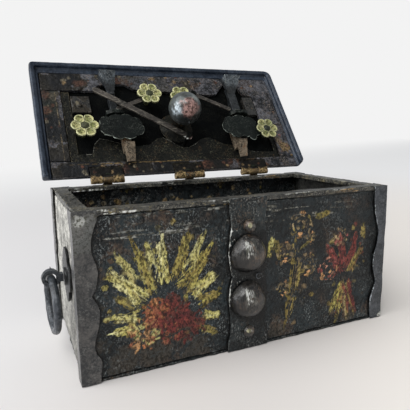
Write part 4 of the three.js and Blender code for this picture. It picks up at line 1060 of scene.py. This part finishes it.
# Glints and chips at the long lever's end: x and y from its tip, radius and colour
LEVER_CHIPS = (
    (-3.5, 2.2, 1.4, BRIGHT_WEAR_AND_HIGHLIGHT), (-1.2, 0.8, 1.0, BRIGHT_WEAR_AND_HIGHLIGHT), (0.6, 1.6, 1.2, PINKISH),
    (2.2, 0.6, 1.1, (196, 168, 160)), (3.2, 2.6, 1.3, PINKISH),
)


def stained(stains, line=None):
    """A dress for the lid's parts: ragged stains, and a line that is partly bare metal and partly painted
    highlight.
    """
    @on_top
    def dress(canvas, x, y, z):
        for k, (across, up, radius, tint, strength) in enumerate(stains):
            canvas.dab((across, up), radius, tint, strength, 40 + 11 * k)
        if line:
            canvas.stroke(line[0], line[1], 1.1, line[2], 0.9, 77)
    return dress


def rosette(co, normal):
    """How far out each point of a rosette lies, and how much it is petal, rim, groove and hollow."""
    middle = (co[:, :2].min(0) + co[:, :2].max(0)) / 2
    reach = (co[:, 0].max() - co[:, 0].min()) / 2
    flat = co[:, :2] - middle
    gaps = np.sort([np.hypot(*(flat - 0.6 * reach * along(60 * k)).T) / (0.4 * reach) for k in range(6)], 0)
    out = np.hypot(*flat.T) / reach
    top = (normal[:, 2] > 0.3) & (co[:, 2] > co[:, 2].max() - 3.2)
    outer = top * ramp(0.27, 0.36, out)
    rim = ramp(0.55, 0.8, gaps[0]) * ramp(1.08, 0.92, gaps[0])
    groove = ramp(0.22, 0.0, gaps[1] - gaps[0])
    hollow = ramp(0.62, 0.15, gaps[0])
    return out, outer, rim, groove, hollow


def cup_petals(co, normal):
    """A shape for a rosette: raised rims, sunk hollows, and grooves between the petals."""
    _, outer, rim, groove, hollow = rosette(co, normal)
    co[:, 2] += outer * (0.75 * rim - 0.55 * hollow - 0.7 * groove)
    return co


def shade_petals(mesh, co, normal):
    """Dirt and painted shade in a rosette's hollows and grooves, and painted shade on the petals' sides; the
    one at the right is dirtier.
    """
    out, outer, _, groove, hollow = rosette(co, normal)
    speck = swell(co, 1.2, 9)
    dark = 0.55 * ramp(0.1, 0.45, hollow + 0.3 * speck) * ramp(1.0, 0.3, hollow)
    dark = np.maximum(dark, 0.8 * ramp(0.4, 0.9, groove) * outer)
    dark = np.maximum(dark, 0.9 * ramp(0.36, 0.27, out + 0.03 * speck))
    # Painted shade on faces turned away from the top.
    dark = np.maximum(dark, 0.85 * (normal[:, 2] < 0.1))
    dirt = 0.22 if co[:, 0].mean() > 60 else 0.0
    set_attribute(mesh, "shade_and_dirt", np.clip(dark + dirt, 0, 1))


def darken_recess(mesh, co, normal):
    """Gives the plate its second material inside the frame."""
    # Near-black iron in the recess: partly dark paint, partly painted shade.
    mesh.materials.append(RECESS)
    x, y, _ = read(mesh.polygons, "center", 3).T
    up = read(mesh.polygons, "normal", 3)[:, 2]
    index = (abs(x) < 98) & (y > 10) & (y < 100) & (up > -0.3)
    mesh.polygons.foreach_set("material_index", index.astype(np.int32))


@all_over
def gild_knuckles(canvas, x, y, z):
    """Bare yellowish metal at the hinge's knuckles, and dark iron on the leaf."""
    low, width = x.min(), x.max() - x.min()
    for k, share in enumerate((0.06, 0.2, 0.34, 0.7, 0.84, 0.97)):
        canvas.dab((low + share * width, -0.5), 3.6, ((170, 146, 104), GOLDEN)[k % 2], 0.95, 300 + k)
    for k in range(7):
        canvas.dab((low + k / 6 * width, 6.8), 4.6, EARTH, 1.0, 340 + k)
    for k in range(3):
        where = (draw(360 + k + round(low), low, low + width), draw(370 + k, 3, 8))
        canvas.dab(where, 1.3, (GOLDEN, RUST)[k % 2], 0.6, 350 + k)
    canvas.dab((low + 0.5 * width, 2.0), 3.4, (40, 46, 34), 0.9, 320)


@all_over
def wear_and_highlight_lock_plate(canvas, x, y, z):
    """Bare metal and painted highlight along the lock plate's sharp edges, broken here and there."""
    edge, ragged = canvas.ragged_edge(0.12, 0.34, 1.3, 17, 0.1)
    edge = edge * ramp(-1.1, 0.1, swell(canvas.co, 9, 23))
    for x0, x1, y0, y1, tint, strength in PLATE_WEAR_AND_HIGHLIGHT:
        canvas.rub_or_highlight(strength * edge * ((x > x0) & (x < x1) & (y > y0) & (y < y1)), tint, 0.25 * ragged)


@all_over
def highlight_cover_edge(canvas, x, y, z):
    """A painted highlight along the lower left edge of a cloud-shaped cover, broken here and there."""
    edge, ragged = canvas.ragged_edge(0.1, 0.34, 1.6, 31, 0.12)
    lean = -0.5 * (x - middle_of(x)) - 1.4 * (y - middle_of(y))
    edge = edge * ramp(2, 8, lean) * ramp(-0.7, 0.1, swell(canvas.co, 11, 37))
    canvas.rub_or_highlight(edge, (172, 184, 176), 0.25 * ragged)


@all_over
def shade_bolt_shank(canvas, x, y, z):
    """Painted shade below a front bolt's head and near the plate, and bare edges on the head."""
    edge, ragged = canvas.ragged_edge(0.2, 0.5, 1.4, 29, 0.15)
    canvas.rub_or_highlight(0.9 * edge * (z > 12), (196, 200, 198), 0.2 * ragged)
    tip = y.max()
    behind_head = ramp(tip - 9, tip - 13, y + ragged)
    canvas.shade_and_dirt(0.82 * np.maximum(ramp(14, 10, z + ragged), behind_head))


@all_over
def chip_lever(canvas, x, y, z):
    """Glints and reddish chips at the long lever's lower end."""
    end = canvas.co[np.argmin(y)]
    for k, (aside, above, radius, tint) in enumerate(LEVER_CHIPS):
        canvas.dab((end[0] + aside, end[1] + above), radius, tint, 0.95, 70 + k)


def lid_pieces():
    forge("lid_plate", LIP, 0.7, 1, (20, 0.1), (4, 0.06), dress=darken_recess)
    for side in SIDES:
        forge("lid_frame_" + side, BROWN, 0.5, 1, (14, 0.25), (3, 0.14), proud=0.15,
              shape=with_bumps(BACK_LUMPS) if side == "back" else None,
              dress=stained(FRAME_STAINS[side], LIT_AND_BARE_BORDER_LINES.get(side)))
    for side in HINGES:
        forge("hinge_leaf_lid_" + side, RUSTY, 0.3, 1, (3, 0.14), dress=gild_knuckles)
    forge("lock_plate", RUSTY, 0.4, 1, (8, 0.15), (2, 0.12), dress=wear_and_highlight_lock_plate)
    forge("bracket_left", BRACKET, 0.35, 1, (6, 0.15), (2, 0.08), dress=stained(BRACKET_STAINS))
    forge("bracket_right", BRACKET, 0.35, 1, (6, 0.15), (2, 0.08))
    forge("key_trumpet", RUSTY, 0.4, 1, (6, 0.1))
    for side in LEFT_RIGHT:
        forge("front_bolt_" + side, BOLT, 0.3, 1, (5, 0.15), (1.6, 0.06), dress=shade_bolt_shank)
        forge("rear_bolt_" + side, STUB, 0.3, 1, (5, 0.15), (1.6, 0.06))
        forge("guide_" + side, COVER, 0.3, 1, (4, 0.12))
        forge("cover_" + side, COVER, 0.3, 1, (6, 0.1), (2, 0.05), dress=highlight_cover_edge)
    for arm, dress in (("long_lever", chip_lever), ("spring_arm_right", None), ("spring_arm_left", None)):
        forge(arm, LEVER, 0.3, 1, (6, 0.12), (2, 0.05), dress=dress)
    forge("key_ball", BALL, 0.4, 2, (10, 0.06))
    for which in ("left", "front_left", "front_right", "right"):
        forge("rosette_" + which, PETAL, 0.25, 1, (2.5, 0.08), shape=cup_petals, dress=shade_petals,
              proud=1.0)
    forge("keyhole_cover", DARK, 0.3, 1, (4, 0.1))


chest_pieces()
lid_pieces()


# Floor, light and camera

BACKDROP = srgb(243, 243, 243)
# The paper under the box: its colour from left to right, and far out
PAPER_LEFT = (0.725, 0.715, 0.72, 1)
PAPER_FRONT = (0.7, 0.668, 0.65, 1)
PAPER_RIGHT = (0.84, 0.8, 0.76, 1)
PAPER_FAR = (0.9, 0.9, 0.905, 1)
ROOM_LIGHT = (0.95, 0.975, 1.0, 1)
PICTURE_PIXELS = 410
FOCAL_PIXELS = 445
SENSOR_MM = 36
CAMERA_PLACE = (-0.1377, -0.2907, 0.1424)
# Turns of the camera: its yaw, its pitch down from level, its roll
CAMERA_TURNS = ((-23.9, "Z"), (90 - 9.92, "X"), (-0.82, "Z"))


def floor():
    """A pale disc that turns into the backdrop's white far away."""
    mesh = bpy.data.meshes.new("floor")
    count, radius = 96, 9.0
    turns = [2 * math.pi * k / count for k in range(count)]
    rim = [(radius * math.cos(turn), radius * math.sin(turn), 0) for turn in turns]
    mesh.from_pydata(rim, [], [list(range(count))])
    g = Skin("floor")
    x, y, _ = g.node("ShaderNodeSeparateXYZ", {0: g.place}).outputs
    out = g.node("ShaderNodeVectorMath", {0: g.place}, operation="LENGTH").outputs["Value"]
    aside = g.maths("SUBTRACT", x, y)
    near = g.mix(g.step(aside, -0.2, 0.05), PAPER_LEFT, PAPER_FRONT)
    near = g.mix(g.step(aside, 0.06, 0.22), near, PAPER_RIGHT)
    paper = g.node("ShaderNodeBsdfDiffuse", {"Color": g.mix(g.step(out, 0.35, 1.2), near, PAPER_FAR)})
    white = g.node("ShaderNodeEmission", {"Color": BACKDROP})
    sweep = g.maths("SUBTRACT", y, g.times(x, 0.45))
    far = g.maths("MAXIMUM", g.step(sweep, 0.5, 1.7), g.step(out, 2.6, 5.0))
    path = g.node("ShaderNodeLightPath").outputs
    seen = g.maths("MAXIMUM", path["Is Glossy Ray"], path["Is Transmission Ray"])
    seen = g.maths("MAXIMUM", path["Is Camera Ray"], seen)
    g.mixed_shader(g.times(far, seen), paper, white)
    mesh.materials.append(g.owner)
    linked("floor", mesh)


def world():
    made = bpy.data.worlds.new("studio")
    bpy.context.scene.world = made
    g = Graph(made, "ShaderNodeOutputWorld")
    room = g.node("ShaderNodeBackground", {"Color": ROOM_LIGHT, "Strength": 0.4})
    seen = g.node("ShaderNodeBackground", {"Color": BACKDROP})
    g.mixed_shader(g.node("ShaderNodeLightPath").outputs["Is Camera Ray"], room, seen)


def light(name, kind, where, target, power, colour, **settings):
    """A light that is aimed at a point."""
    data = bpy.data.lights.new(name, kind)
    for key, value in settings.items():
        setattr(data, key, value)
    data.energy = power
    data.color = colour
    made = linked(name, data)
    made.location = where
    made.rotation_euler = (Vector(target) - Vector(where)).to_track_quat("-Z", "Y").to_euler()


def camera():
    data = bpy.data.cameras.new("camera")
    data.sensor_width = SENSOR_MM
    data.lens = SENSOR_MM * FOCAL_PIXELS / PICTURE_PIXELS
    data.clip_start = 0.01
    made = linked("camera", data)
    turned = Matrix.Identity(4)
    for degrees, axis in CAMERA_TURNS:
        turned = turned @ Matrix.Rotation(math.radians(degrees), 4, axis)
    made.matrix_world = Matrix.Translation(CAMERA_PLACE) @ turned
    bpy.context.scene.camera = made


floor()
world()
light("sky", "SUN", (-0.6, -0.15, 0.75), (0, 0, 0), 1.7, (1.0, 0.99, 0.975), angle=math.radians(60))
light("window", "AREA", (-1.0, 0.06, 0.28), (0, 0, 0.08), 5, (0.97, 0.985, 1.0), shape="RECTANGLE", size=0.5,
      size_y=0.7)
light("lamp", "AREA", (-0.6, -0.8, 1.05), (0, 0, 0.06), 5, (1.0, 0.99, 0.97), shape="RECTANGLE", size=0.4,
      size_y=0.4)
camera()
bpy.context.scene.view_settings.view_transform = "Standard"
